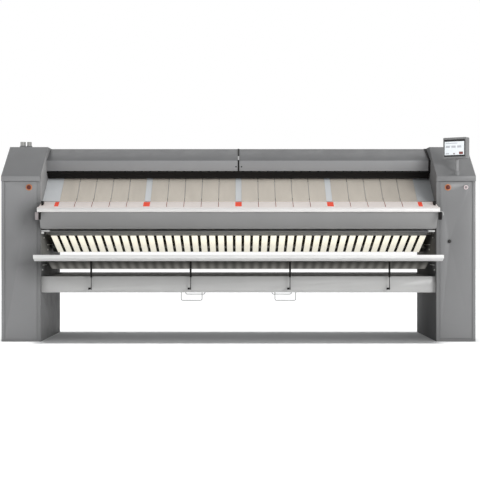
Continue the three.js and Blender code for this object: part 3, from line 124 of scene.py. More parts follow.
def add_node(tree, kind, inputs=None, **settings):
    """A new node. Each input is given as a value, or as the output that feeds it."""
    node = tree.nodes.new(kind)
    for key, value in settings.items():
        setattr(node, key, value)
    for key, value in (inputs or {}).items():
        if isinstance(value, bpy.types.NodeSocket):
            tree.links.new(value, node.inputs[key])
        else:
            node.inputs[key].default_value = value
    return node


class Finish:
    """A material with one Principled shader, and short ways to add nodes to it."""

    def __init__(self, name, colour, roughness, metallic=0.0):
        self.material = bpy.data.materials.new(name)
        self.material.use_nodes = True
        self.tree = self.material.node_tree
        self.shader = self.tree.nodes["Principled BSDF"]
        self.colour = linear(colour)
        self.put("Base Color", (*self.colour, 1.0))
        self.put("Roughness", roughness)
        self.put("Metallic", metallic)
        self.place = self.tree.nodes.new("ShaderNodeTexCoord").outputs["Object"]

    def add(self, kind, inputs=None, **settings):
        return add_node(self.tree, kind, inputs, **settings)

    def put(self, key, value):
        """Sets an input of the shader, or feeds it from another node's output."""
        if isinstance(value, bpy.types.NodeSocket):
            self.tree.links.new(value, self.shader.inputs[key])
        else:
            self.shader.inputs[key].default_value = value

    def stretched(self, scale):
        """The object's places, scaled along each axis."""
        return self.add("ShaderNodeMapping", {"Vector": self.place, "Scale": scale}).outputs["Vector"]

    def noise(self, scale, detail=3.0, vector=None, roughness=0.55):
        inputs = {"Vector": vector or self.place, "Scale": scale, "Detail": detail,
                  "Roughness": roughness}
        return self.add("ShaderNodeTexNoise", inputs).outputs["Fac"]

    def ramp(self, value, low, high, to_low, to_high, **settings):
        inputs = {"Value": value, "From Min": low, "From Max": high,
                  "To Min": to_low, "To Max": to_high}
        return self.add("ShaderNodeMapRange", inputs, **settings).outputs["Result"]

    def maths(self, operation, first, second):
        return self.add("ShaderNodeMath", {0: first, 1: second}, operation=operation).outputs["Value"]

    def times(self, first, second):
        return self.maths("MULTIPLY", first, second)

    def along(self, axis):
        """The place along one of the frame's axes, in metres."""
        return self.add("ShaderNodeSeparateXYZ", {"Vector": self.place}).outputs[axis]

    def facing(self, axis):
        """How far the surface faces along an axis, from -1 to 1."""
        normal = self.add("ShaderNodeNewGeometry").outputs["Normal"]
        return self.add("ShaderNodeSeparateXYZ", {"Vector": normal}).outputs[axis]

    def graph(self, value, stops):
        """Straight lines through (value, result) stops, level beyond them."""
        (x0, y0), (x1, y1) = stops[:2]
        total = self.ramp(value, x0, x1, y0, y1)
        for (x0, y0), (x1, y1) in zip(stops[1:], stops[2:]):
            total = self.maths("ADD", total, self.ramp(value, x0, x1, 0.0, y1 - y0))
        return total

    def painted_shadow(self, place, reach, darkest):
        """A painted soft shadow round a machine place, out to a reach in millimetres."""
        gap = self.add("ShaderNodeVectorMath", {0: self.place, 1: at(*place)}, operation="DISTANCE")
        return self.ramp(gap.outputs["Value"], 0.0, reach * MM, darkest, 1.0,
                         interpolation_type="SMOOTHSTEP")

    def glow(self, strength, colour):
        """Painted light: a glow of its own, of a strength that may follow a value."""
        self.put("Emission Color", (*linear(colour), 1.0))
        self.put("Emission Strength", strength)

    def shade(self, value, darkest, lightest, low=0.3, high=0.7, tone=None):
        """Multiplies the base colour by a grey that follows the value, and by painted shading if given.
        """
        grey = self.ramp(value, low, high, darkest, lightest)
        if tone is not None:
            grey = self.times(grey, tone)
        vector = self.add("ShaderNodeCombineXYZ", {"X": grey, "Y": grey, "Z": grey}).outputs["Vector"]
        mixed = self.add("ShaderNodeVectorMath", {0: self.colour, 1: vector}, operation="MULTIPLY")
        self.put("Base Color", mixed.outputs["Vector"])

    def gloss(self, value, low, high):
        self.put("Roughness", self.ramp(value, 0.3, 0.7, low, high))

    def bump(self, value, strength, distance):
        inputs = {"Height": value, "Strength": strength, "Distance": distance}
        self.put("Normal", self.add("ShaderNodeBump", inputs).outputs["Normal"])


# Painted light and shade, by the height in metres, on the fronts and on the inner walls
FRONT_PAINTED_LIGHT = {"left": ((0.30, 0.85), (0.90, 0.77), (1.385, 1.06), (1.395, 0.93)),
               "right": ((0.30, 0.78), (0.90, 0.73), (1.385, 0.83), (1.395, 0.75))}
# painted shade on the slopes, and on faces turned away from the front
SLOPE_PAINTED_SHADE = {"left": 0.81, "right": 0.76}
SIDE_PAINTED_SHADE = 0.86
FRONTAL = (-0.9, -0.6)    # a normal's Y on a front, and where a front ends
# painted soft shadows by the left ends of the bar and the shelf
SHADES = ((-1765, 0, 1070), (-1755, 0, 680))     # by the left ends of the bar and the shelf
SHADE_REACH, SHADE_TONE = 260, 0.5
# painted shade on the inner walls, lightest at the top; the left wall darker towards the back, the right
# lighter
INNER_PAINTED_SHADE = {"left": ((0.30, 1.45), (0.60, 1.20), (0.83, 1.35), (1.10, 2.30), (1.50, 3.60)),
               "right": ((0.30, 1.20), (0.70, 1.10), (0.83, 0.85), (1.50, 1.60))}
INNER_BACK_SHADE = {"left": 0.33, "right": 1.45}
INNER_GLOSS = {"left": 0.1, "right": 0.0}
# pitch of the painted reflection of the belts in the guide sheet
REFLECTION_PITCH = 0.08067    # of the belts' mirror image in the guide sheet, in metres


# Each gives painted light and shade for a base colour, or None where it only sets a glow or gloss.
def front_painted_light(finish, side):
    """Painted shading of a cabinet's front, side and slope, with soft shadows by the bar's and shelf's
    ends.
    """
    tone = finish.graph(finish.along("Z"), FRONT_PAINTED_LIGHT[side])
    tone = finish.ramp(finish.facing("Y"), *FRONTAL, tone, SIDE_PAINTED_SHADE)
    tone = finish.ramp(finish.facing("Z"), 0.3, 0.5, tone, SLOPE_PAINTED_SHADE[side])
    if side == "left":
        for place in SHADES:
            tone = finish.times(tone, finish.painted_shadow(place, SHADE_REACH, SHADE_TONE))
    return tone


def inner_painted_shade(finish, side, front):
    """Painted shading of a side frame: the cabinets' on its front edge, and its own on the inner wall.
    """
    finish.put("Specular IOR Level", INNER_GLOSS[side])
    wall = finish.graph(finish.along("Z"), INNER_PAINTED_SHADE[side])
    back = finish.ramp(finish.along("Y"), -0.45, 0.45, 1.0, INNER_BACK_SHADE[side])
    wall = finish.times(wall, back)
    edge = finish.times(front_painted_light(finish, side), front)
    return finish.ramp(finish.facing("Y"), *FRONTAL, edge, wall)


def hood_painted_shade(finish):
    """Painted shade: the hood's slope above its bend is darker than the face below."""
    bend = HOOD_BEND[1] * MM
    return finish.ramp(finish.along("Z"), bend - 0.002, bend + 0.002, 1.06, 0.58)


def painted_gradient(axis, *stops):
    """Painted shading that runs along an axis through (place in metres, tone) stops."""
    def tone(finish):
        return finish.graph(finish.along(axis), stops)
    return tone


def guide_painted_reflection(finish):
    """Painted reflection of the belts: soft glowing stripes on the guide sheet's lower face. Lower is
    brighter.
    """
    turn = finish.times(finish.along("X"), 2.0 * math.pi / REFLECTION_PITCH)
    reflection = finish.ramp(finish.maths("COSINE", turn, 0.0), -1.0, 1.0, 0.62, 1.38)
    deep = finish.graph(finish.along("Z"),
                        ((0.636, 0.128), (0.660, 0.082), (0.683, 0.042), (0.700, 0.020)))
    lower = finish.ramp(finish.facing("Z"), -0.2, 0.0, 1.0, 0.0)
    finish.glow(finish.times(finish.times(reflection, deep), lower), (1.0, 0.985, 0.955))


def dull_tone(finish):
    """A black that mirrors little of its surroundings."""
    finish.put("Specular IOR Level", 0.12)


def tray_painted_shade(finish):
    """Painted shade: the tray's panel is paler at the foot, and the tray is dark inside."""
    height = finish.graph(finish.along("Z"), ((0.43, 1.0), (0.50, 0.85), (0.57, 0.74)))
    return finish.times(height, finish.ramp(finish.along("Y"), -0.45, -0.30, 1.0, 0.36))


def nose_painted_light(finish):
    """Painted light: a weak glow on the nose plate's top only, and painted shade on the bar below it."""
    finish.glow(finish.ramp(finish.facing("Z"), 0.8, 0.95, 0.0, 0.20), (1.0, 0.90, 0.86))
    return finish.ramp(finish.facing("Z"), 0.5, 0.9, 0.86, 1.0)


def belt_painted_glow(finish):
    """Painted light: a weak glow on the run of the ironing belts that faces down below the roll."""
    low = finish.ramp(finish.along("Z"), 0.99, 1.01, 0.8, 0.0)
    finish.glow(finish.times(low, finish.ramp(finish.facing("Z"), -0.25, -0.05, 1.0, 0.0)),
                (1.0, 0.985, 0.925))


def painted(name, colour, roughness=0.42, tone=None, *values):
    """Powder-coated sheet: a fine orange peel, and a faint unevenness in tone and gloss."""
    finish = Finish(name, colour, roughness)
    shading = tone(finish, *values) if tone else None
    finish.shade(finish.noise(2.2, 4.0), 0.955, 1.02, tone=shading)
    finish.gloss(finish.noise(7.0), roughness - 0.05, roughness + 0.07)
    finish.bump(finish.noise(950.0, 1.0), 0.05, 0.0003)
    return finish.material


def brushed(name, colour, roughness, along="x"):
    """Metal with fine lines along one axis."""
    finish = Finish(name, colour, roughness, 1.0)
    scale = {"x": (3.0, 700.0, 700.0), "z": (700.0, 700.0, 3.0)}[along]
    lines = finish.noise(1.0, 2.0, finish.stretched(scale))
    finish.shade(lines, 0.90, 1.03)
    finish.gloss(lines, roughness - 0.04, roughness + 0.08)
    finish.bump(lines, 0.08, 0.0002)
    return finish.material


def cast(name, colour):
    """Painted cast metal, with a rough skin."""
    finish = Finish(name, colour, 0.6, 0.15)
    finish.shade(finish.noise(14.0, 4.0), 0.88, 1.04)
    finish.bump(finish.noise(420.0, 3.0), 0.25, 0.0006)
    return finish.material


def woven(name, colour, thread_mm, darkest, sheen, tone):
    """Belting: threads both ways as bump and tone, with slow changes from wear along it."""
    finish = Finish(name, colour, 0.86)
    shading = tone(finish)
    finish.put("Sheen Weight", sheen)
    scale = 2.0 * math.pi / (20.0 * thread_mm * MM)

    def threads(axis):
        inputs = {"Vector": finish.place, "Scale": scale, "Distortion": 0.4}
        return finish.add("ShaderNodeTexWave", inputs, bands_direction=axis).outputs["Fac"]

    weave = finish.times(threads("X"), finish.maths("MAXIMUM", threads("Z"), threads("Y")))
    wear = finish.noise(1.0, 4.0, finish.stretched((9.0, 2.0, 2.0)))
    both = finish.add("ShaderNodeMath", {0: weave, 1: 0.18, 2: wear}, operation="MULTIPLY_ADD")
    finish.shade(both.outputs["Value"], darkest, 1.03, 0.35, 0.78, shading)
    finish.bump(weave, 0.35, 0.0004)
    return finish.material


def plastic(name, colour, roughness, glow=0.0):
    """Moulded plastic, with a painted glow of its own if asked."""
    finish = Finish(name, colour, roughness)
    if glow:
        finish.glow(glow, colour)
    finish.gloss(finish.noise(30.0), roughness - 0.04, roughness + 0.06)
    finish.bump(finish.noise(1400.0, 1.0), 0.04, 0.0002)
    return finish.material


def rubbery(name, colour):
    """Dull rubber."""
    finish = Finish(name, colour, 0.75)
    finish.shade(finish.noise(60.0), 0.85, 1.1)
    return finish.material


def lit_panel(name):
    """The screen's picture: a pale page with a bar, a few soft blocks and a coloured button."""
    finish = Finish(name, (0.86, 0.88, 0.89), 0.25)
    finish.put("Emission Strength", 0.35)
    finish.put("Emission Color", (0.8, 0.83, 0.85, 1.0))
    finish.put("Coat Weight", 0.4)
    finish.shade(finish.noise(24.0, 1.0), 0.97, 1.02)
    return finish.material


MATERIALS = {}


def make_materials(colours):
    """Every finish of the machine, under a plain name."""
    front = linear(colours.cabinet)[0] / linear(colours.frame)[0]
    # each side's cabinets and frames get their own copy of the paint, with its own painted light and
    # shade
    for side in ("left", "right"):
        MATERIALS["cabinet_" + side] = painted("cabinet_paint_and_light_" + side, colours.cabinet, 0.42,
                                               front_painted_light, side)
        MATERIALS["frame_" + side] = painted("frame_paint_and_shade_" + side, colours.frame, 0.55,
                                             inner_painted_shade, side, front)
    MATERIALS.update({
        "cabinet": painted("cabinet_paint", colours.cabinet),
        # the hood gets painted shade on its slope above the bend
        "hood": painted("hood_paint", colours.hood, 0.40, hood_painted_shade),
        # painted shade, darkest at half the height of its edge
        "chute": painted("chute_paint_and_shade", colours.hood, 0.40,
                         painted_gradient("Z", (0.930, 1.30), (0.948, 0.60), (0.969, 1.20))),
        "white": painted("white_paint", colours.white, 0.35),
        # painted light on the nose plate's top
        "nose": painted("nose_paint_and_light", colours.nose, 0.35, nose_painted_light),
        # painted shadow of the right cabinet: strips and feed belts get darker towards the right end
        "lane": painted("lane_paint_and_shadow", colours.lane, 0.5,
                        painted_gradient("X", (1.20, 1.0), (1.56, 0.62), (1.62, 0.50), (1.72, 0.42))),
        # painted shade inside the tray and up its panel
        "tray": painted("tray_paint_and_shade", colours.tray, 0.35, tray_painted_shade),
        "fitting": painted("fitting_paint", (0.80, 0.80, 0.79), 0.4),
        "guard": painted("guard_paint", (0.105, 0.098, 0.095), 0.5, dull_tone),
        "apron": painted("apron_paint", colours.apron, 0.45),
        # painted light: the belts' lower run glows a little
        "ironing": woven("ironing_belting_and_painted_glow", colours.ironing_belt, 1.6, 0.90, 0.15, belt_painted_glow),
        # painted shadow of the right cabinet, darker towards the right end
        "feed": woven("feed_belting_and_shadow", colours.feed_belt, 1.2, 0.92, 0.0,
                      painted_gradient("X", (0.5, 1.0), (1.13, 0.90), (1.56, 0.70))),
        "polished": brushed("polished_steel", (0.70, 0.70, 0.69), 0.16),
        # painted reflection of the belts, glowing on the sheet's lower face
        "guide": painted("guide_sheet", (0.10, 0.10, 0.10), 0.35, guide_painted_reflection),
        "stainless": brushed("stainless_steel", (0.66, 0.66, 0.655), 0.30, "z"),
        "wire": painted("grey_wire", (0.52, 0.52, 0.52), 0.4),
        "pipe": brushed("pipe_steel", (0.62, 0.62, 0.61), 0.38, "z"),
        "cast": cast("cast_metal", (0.30, 0.32, 0.33)),
        "motor": cast("motor_paint", (0.26, 0.33, 0.40)),
        "rubber": rubbery("black_rubber", (0.09, 0.09, 0.09)),
        "shaft": painted("strut_rod", (0.11, 0.11, 0.11), 0.4, dull_tone),
        "dark": plastic("dark_plastic", (0.11, 0.105, 0.10), 0.5),
        "red": plastic("red_plastic", (0.36, 0.10, 0.06), 0.32),
        # the red marks get a weak painted glow
        "marker": plastic("marker_red_and_painted_glow", (0.98, 0.30, 0.17), 0.5, 0.22),
        "tick": plastic("tick_red", (0.50, 0.16, 0.14), 0.5),
        "amber": plastic("amber_ring", (0.82, 0.50, 0.30), 0.4),
        "pink": plastic("button_ring", (0.93, 0.86, 0.86), 0.35),
        "grey": plastic("grey_plastic", (0.58, 0.55, 0.55), 0.4),
        "screen": plastic("screen_plastic", (0.50, 0.50, 0.50), 0.5),
        "bezel": plastic("screen_bezel", (0.07, 0.07, 0.07), 0.25),
        "display": lit_panel("display_glass"),
        "block": plastic("display_block", (0.80, 0.81, 0.83), 0.3),
        "alert": plastic("display_button", (0.52, 0.27, 0.24), 0.3),
    })


# ---- Meshes ---------------------------------------------------------------------------------
def coat(mesh, material):
    """Gives a mesh one finish in place of what it had."""
    mesh.materials.clear()
    mesh.materials.append(MATERIALS[material])


def in_scene(name, data):
    """A new object of the scene for a mesh, lamp or camera."""
    piece = bpy.data.objects.new(name, data)
    bpy.context.scene.collection.objects.link(piece)
    return piece


def new_object(name, mesh, material):
    """A piece made of a mesh in one finish."""
    coat(mesh, material)
    return in_scene(name, mesh)


def smoothed(mesh, degrees):
    """Shades a mesh smooth, but for edges sharper than an angle."""
    mesh.polygons.foreach_set("use_smooth", [True] * len(mesh.polygons))
    mesh.set_sharp_from_angle(angle=math.radians(degrees))


def edit(mesh, merge=None, flatten=None, outwards=False):
    """Merges corners closer than a distance, joins faces within an angle, or turns faces outwards."""
    data = bmesh.new()
    data.from_mesh(mesh)
    if merge:
        bmesh.ops.remove_doubles(data, verts=data.verts, dist=merge)
    if flatten:
        bmesh.ops.dissolve_limit(data, angle_limit=math.radians(flatten), verts=data.verts,
                                 edges=data.edges)
    if outwards:
        bmesh.ops.recalc_face_normals(data, faces=data.faces)
    data.to_mesh(mesh)
    data.free()


def mesh_from(name, points, faces, material, smooth=False):
    """A mesh of machine points, with its faces made to point outwards."""
    mesh = bpy.data.meshes.new(name)
    mesh.from_pydata([at(*p) for p in points], [], faces)
    edit(mesh, outwards=True)
    if smooth:
        smoothed(mesh, SMOOTH_BELOW)
    return new_object(name, mesh, material)


def ring_faces(rings, sides, looped=False):
    """Faces between rings of points. The last ring meets the first if looped, else both are capped."""
    faces = []
    for ring in range(rings if looped else rings - 1):
        start, after = ring * sides, (ring + 1) % rings * sides
        for k in range(sides):
            following = (k + 1) % sides
            faces.append((start + k, start + following, after + following, after + k))
    if not looped:
        faces += [tuple(range(sides)), tuple(range((rings - 1) * sides, rings * sides))]
    return faces


def circle(radius, sides):
    """Points round a circle, as (across, up) pairs."""
    angles = [2.0 * math.pi * k / sides for k in range(sides)]
    return [(radius * math.cos(angle), radius * math.sin(angle)) for angle in angles]


def joined(name, pieces):
    """Several pieces as one mesh, each keeping its own material."""
    data = bpy.data.meshes.new(name)
    tidy = bmesh.new()
    materials = []
    for piece in pieces:
        before = len(tidy.faces)
        tidy.from_mesh(piece.data)
        tidy.faces.ensure_lookup_table()
        own = piece.data.materials[0]
        if own not in materials:
            materials.append(own)
        for face in tidy.faces[before:]:
            face.material_index = materials.index(own)
    tidy.to_mesh(data)
    tidy.free()
    for material in materials:
        data.materials.append(material)
    result = in_scene(name, data)
    for piece in pieces:
        mesh = piece.data
        bpy.data.objects.remove(piece)
        bpy.data.meshes.remove(mesh)
    return result


def block(name, x, y, z, material, bevel=0.0):
    """A box from three (low, high) pairs."""
    points = [(a, b, c) for a in x for b in y for c in z]
    faces = [(0, 1, 3, 2), (4, 6, 7, 5), (0, 4, 5, 1), (2, 3, 7, 6), (0, 2, 6, 4), (1, 5, 7, 3)]
    piece = mesh_from(name, points, faces, material)
    return rounded(piece, bevel) if bevel else piece


def turned(name, axis, profile, place, material, sides):
    """A profile of (radius, distance along the axis) pairs, turned about x, y or z through a place."""
    looped = profile[0] == profile[-1]
    rings = profile[:-1] if looped else profile
    points = []
    for radius, along in rings:
        for across, up in circle(radius, sides):
            local = {"x": (along, across, up), "y": (across, along, up), "z": (across, up, along)}[axis]
            points.append(tuple(p + q for p, q in zip(place, local)))
    piece = mesh_from(name, points, ring_faces(len(rings), sides, looped), material)
    edit(piece.data, merge=1e-6, outwards=True)
    smoothed(piece.data, SMOOTH_BELOW)
    return piece


def swept(name, route, radius, material):
    """A round wire along machine points in a plane."""
    path = [Vector(p) for p in route]
    points, normal = [], None
    for i, here in enumerate(path):
        before = (here - path[i - 1]).normalized() if i else (path[1] - here).normalized()
        after = (path[i + 1] - here).normalized() if i + 1 < len(path) else before
        along = (before + after).normalized()
        if normal is None:
            normal = along.orthogonal().normalized()
        normal = (normal - along * normal.dot(along)).normalized()
        other = along.cross(normal)
        points += [here + normal * across + other * up for across, up in circle(radius, WIRE_SIDES)]
    return mesh_from(name, points, ring_faces(len(path), WIRE_SIDES), material, smooth=True)


def profile_x(name, section, x0, x1, material):
    """A closed (y, z) outline, swept along x."""
    points = [(x, y, z) for x in (x0, x1) for y, z in section]
    return mesh_from(name, points, ring_faces(2, len(section)), material)


def apply_modifiers(piece):
    """Turns the evaluated piece into a plain mesh and takes its modifiers off."""
    graph = bpy.context.evaluated_depsgraph_get()
    mesh = bpy.data.meshes.new_from_object(piece.evaluated_get(graph))
    piece.modifiers.clear()
    old = piece.data
    piece.data = mesh
    bpy.data.meshes.remove(old)


def rounded(piece, width):
    """Rounds a piece's edges by a width in millimetres."""
    bevel = piece.modifiers.new("edge", "BEVEL")
    bevel.width = width * MM
    bevel.segments = 2
    bevel.limit_method = "ANGLE"
    bevel.angle_limit = math.radians(30.0)
    apply_modifiers(piece)
    smoothed(piece.data, SMOOTH_EDGES)
    return piece


def ride(piece, body="machine", stands_for=()):
    """Seats a finished piece on its body, and has it stand for CAD nodes if it replaces any."""
    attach(piece, body)
    if stands_for:
        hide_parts(*stands_for)


def dressed(material, *nodes):
    """CAD nodes kept as they are, with their finish."""
    for node in nodes:
        coat(NODES[node].data, material)


def softened(node, material, width):
    """A copy of a CAD node with merged corners and rounded edges, which stands for the node."""
    mesh = NODES[node].data.copy()
    mesh.name = node + "_finished"
    edit(mesh, merge=2e-6, flatten=0.6)
    piece = rounded(new_object(node + "_finished", mesh, material), width)
    ride(piece, BODY_OF[node], (node,))


# ---- Rows by Geometry Nodes -----------------------------------------------------------------
def row_tree(material):
    """A node tree that repeats its mesh in groups of equal rows along x."""
    tree = bpy.data.node_groups.new("Row of pieces", "GeometryNodeTree")
    face = tree.interface
    face.new_socket("Geometry", in_out="INPUT", socket_type="NodeSocketGeometry")
    for label, kind in (("Count", "Int"), ("Pitch", "Float"),
                        ("Groups", "Int"), ("Group pitch", "Float")):
        face.new_socket(label, in_out="INPUT", socket_type="NodeSocket" + kind)
    face.new_socket("Geometry", in_out="OUTPUT", socket_type="NodeSocketGeometry")
    start = add_node(tree, "NodeGroupInput").outputs

    def maths(operation, first, second):
        return add_node(tree, "ShaderNodeMath", {0: first, 1: second}, operation=operation).outputs[0]

    def along_x(value):
        return add_node(tree, "ShaderNodeCombineXYZ", {"X": value}).outputs[0]

    def repeated(mesh, count, pitch):
        """The mesh at each point of a line along x that has its middle on x = 0."""
        half = maths("MULTIPLY", maths("SUBTRACT", start[count], 1.0), -0.5)
        line = add_node(tree, "GeometryNodeMeshLine", {
            "Count": start[count], "Start Location": along_x(maths("MULTIPLY", half, start[pitch])),
            "Offset": along_x(start[pitch])})
        return add_node(tree, "GeometryNodeInstanceOnPoints",
                        {"Points": line.outputs["Mesh"], "Instance": mesh}).outputs["Instances"]

    groups = repeated(repeated(start["Geometry"], "Count", "Pitch"), "Groups", "Group pitch")
    real = add_node(tree, "GeometryNodeRealizeInstances", {"Geometry": groups})
    paint = add_node(tree, "GeometryNodeSetMaterial",
                     {"Geometry": real.outputs["Geometry"], "Material": MATERIALS[material]})
    add_node(tree, "NodeGroupOutput", {"Geometry": paint.outputs["Geometry"]})
    return tree


def in_rows(piece, material, count, pitch, groups=1, group_pitch=0.0):
    """Repeats a piece along x, in groups, and leaves a plain mesh."""
    tree = row_tree(material)
    modifier = piece.modifiers.new("rows", "NODES")
    modifier.node_group = tree
    values = {"Count": count, "Pitch": pitch * MM, "Groups": groups, "Group pitch": group_pitch * MM}
    for item in tree.interface.items_tree:
        if item.item_type == "SOCKET" and item.in_out == "INPUT" and item.name in values:
            modifier[item.identifier] = values[item.name]
    smooth = any(p.use_smooth for p in piece.data.polygons)
    apply_modifiers(piece)
    coat(piece.data, material)
    if smooth:
        smoothed(piece.data, SMOOTH_BELOW)
    return piece


# ---- Belts ----------------------------------------------------------------------------------
def belt_path(pulleys, step=6.0):
    """The run of a belt round (place, radius, turn) pulleys, with arcs cut every few degrees."""
    count = len(pulleys)
    headings = []
    for i, ((y0, z0), r0, t0) in enumerate(pulleys):
        (y1, z1), r1, t1 = pulleys[(i + 1) % count]
        shift = (t1 * r1 - t0 * r0) / math.hypot(y1 - y0, z1 - z0)
        headings.append(math.atan2(z1 - z0, y1 - y0) - math.asin(shift))
    points = []
    for i, ((y, z), radius, turn) in enumerate(pulleys):
        bend = (turn * (headings[i] - headings[i - 1])) % (2.0 * math.pi)
        steps = max(2, round(math.degrees(bend) / step))
        for k in range(steps + 1):
            side = headings[i - 1] + turn * (bend * k / steps - math.pi / 2)
            points.append((y + radius * math.cos(side), z + radius * math.sin(side)))
    return points


def belt_loop(name, pulleys, thickness, width, material):
    """One closed belt of an even thickness, its middle on x = 0."""
    def grown(by):
        return belt_path([(place, radius + turn * by, turn) for place, radius, turn in pulleys])
    inner, outer = grown(-thickness / 2), grown(thickness / 2)
    half, lip = width / 2, thickness * 0.2
    rims = ((inner, -half + lip), (outer, -half), (outer, half), (inner, half - lip))
    points = [(x, y, z) for run, x in rims for y, z in run]
    faces = ring_faces(len(rims), len(inner), looped=True)
    return mesh_from(name, points, faces, material, smooth=True)


# ---- Sizes and colours ----------------------------------------------------------------------
def colour_property(name, description, value):
    return FloatVectorProperty(name=name, description=description, default=value, size=3,
                               subtype="COLOR_GAMMA", min=0.0, max=1.0)


def count_property(name, description, value, most):
    return IntProperty(name=name, description=description, default=value, min=1, max=most)


def size_property(name, description, value, least):
    return FloatProperty(name=name, description=description + ", in mm", default=value, min=least)


class IronerColours(bpy.types.PropertyGroup):
    """Colours of the machine's finishes, as sRGB."""

    cabinet: colour_property("Cabinets", "Paint of fronts, sides and covers", (0.560, 0.560, 0.562))
    hood: colour_property("Hood", "Paint of the hood over the roll", (0.560, 0.562, 0.566))
    frame: colour_property("Side frames", "Paint of the side frames", (0.400, 0.400, 0.400))
    white: colour_property("White parts", "Paint of the receiving shelf", (0.900, 0.898, 0.890))
    nose: colour_property("Nose plate", "Paint of the nose plate and front bar", (0.965, 0.955, 0.945))
    lane: colour_property("Lane strips", "Pale strips between the feed lanes", (0.930, 0.940, 0.945))
    tray: colour_property("Tray", "Paint of the collecting tray", (0.760, 0.758, 0.752))
    apron: colour_property("Apron", "Paint of the apron under the front bar", (0.560, 0.558, 0.556))
    ironing_belt: colour_property("Ironing belts", "Belting round the roll", (0.965, 0.930, 0.850))
    feed_belt: colour_property("Feed belts", "Belting of the feed table", (0.905, 0.868, 0.815))


class IronerSizes(bpy.types.PropertyGroup):
    """Sizes of the repeated pieces, in millimetres."""

    belt_count: count_property("Ironing belts", "Belts side by side on the roll", 43, 80)
    belt_pitch: size_property("Belt pitch", "From one ironing belt to the next", 77.7, 10.0)
    belt_width: size_property("Belt width", "Width of an ironing belt", 52.6, 5.0)
    lane_count: count_property("Feed lanes", "Lanes of the feed table", 4, 8)
    lane_pitch: size_property("Lane pitch", "From one feed lane to the next", 798.0, 50.0)
    lane_belts: count_property("Belts in a lane", "Feed belts side by side in a lane", 5, 12)
    lane_belt_width: size_property("Feed belt width", "Width of a feed belt", 145.0, 5.0)
    lane_belt_gap: size_property("Feed belt gap", "Between the feed belts of a lane", 5.0, 0.5)


# ---- Operators ------------------------------------------------------------------------------
class IRONER_OT_finishes(bpy.types.Operator):
    """Make all materials of the machine"""

    bl_idname = "ironer.finishes"
    bl_label = "Finishes"

    def execute(self, context):
        make_materials(context.scene.ironer_colours)
        return {"FINISHED"}


class IRONER_OT_cabinets(bpy.types.Operator):
    """Finish the side frames, cabinets, covers and front panels"""

    bl_idname = "ironer.cabinets"
    bl_label = "Cabinets"

    def execute(self, context):
        for side in ("left", "right"):
            dressed("frame_" + side, "side_frame_" + side)
            softened("cabinet_shell_" + side, "cabinet_" + side, 0.8)
            softened("top_cover_" + side, "cabinet_" + side, 1.4)
        softened("front_panel_left", "cabinet_left", 0.4)
        softened("front_door_right", "cabinet_right", 0.4)
        softened("rear_panel", "cabinet", 1.0)
        self.fittings()
        return {"FINISHED"}

    def fittings(self):
        """Small rails and bolts on the inner wall of each side frame."""
        proud, wall = INNER - 8.0, INNER - 0.5
        rails = (((142, 324), (944, 954)), ((382, 832), (838, 845)), ((110, 345), (659, 667)))
        bolts = ((180, 904), (395, 797), (86, 621))
        head = ((0, proud - 1.5), (5, proud - 1.5), (7, proud), (7, wall), (0, wall))
        for side, sign in (("left", -1), ("right", 1)):
            x = sorted((sign * proud, sign * wall))
            parts = [block("rail", x, y, z, "fitting", 1.0) for y, z in rails]
            bolt = [(radius, sign * along) for radius, along in head]
            parts += [turned("bolt", "x", bolt, (0, y, z), "fitting", 12) for y, z in bolts]
            ride(joined("wall_fittings_" + side, parts), "machine")


class IRONER_OT_hood(bpy.types.Operator):
    """Finish the hood's two halves, the strip over their joint and the finger guard"""

    bl_idname = "ironer.hood"
    bl_label = "Hood and finger guard"

    def execute(self, context):
        softened("hood_left", "hood", 1.0)
        softened("hood_right", "hood", 1.0)
        dressed("guard", "hood_joint_strip")
        softened("finger_guard", "guard", 0.8)
        wider, seal_x = 1.4, INNER - 10.5
        seal = NODES["hood_joint_strip"].data.copy()
        for vertex in seal.vertices:
            vertex.co.x = vertex.co.x * wider + seal_x * MM
        ride(new_object("hood_seal_right", seal, "guard"), "machine")
        self.clip()
        return {"FINISHED"}

    def clip(self):
        """A pale clip on the joint strip, just above the hood's bend, and two screws below it."""
        bend = Vector(HOOD_BEND)
        up = (Vector(HOOD_TOP) - bend).normalized()
        out = Vector((-up.y, up.x))
        (near, far), (low, high) = (8, 106), (3.6, 5.2)
        section = [tuple(bend + up * t + out * lift)
                   for t, lift in ((near, low), (far, low), (far, high), (near, high))]
        parts = [profile_x("clip", section, -6.3, 6.3, "fitting")]
        head = [(0, -3.2), (5, -3.2), (6, -2), (6, 1), (0, 1)]
        parts += [turned("screw", "y", head, (x, 356.5, 1540), "guard", 16) for x in (-22, 27)]
        ride(joined("hood_clip", parts), "machine")


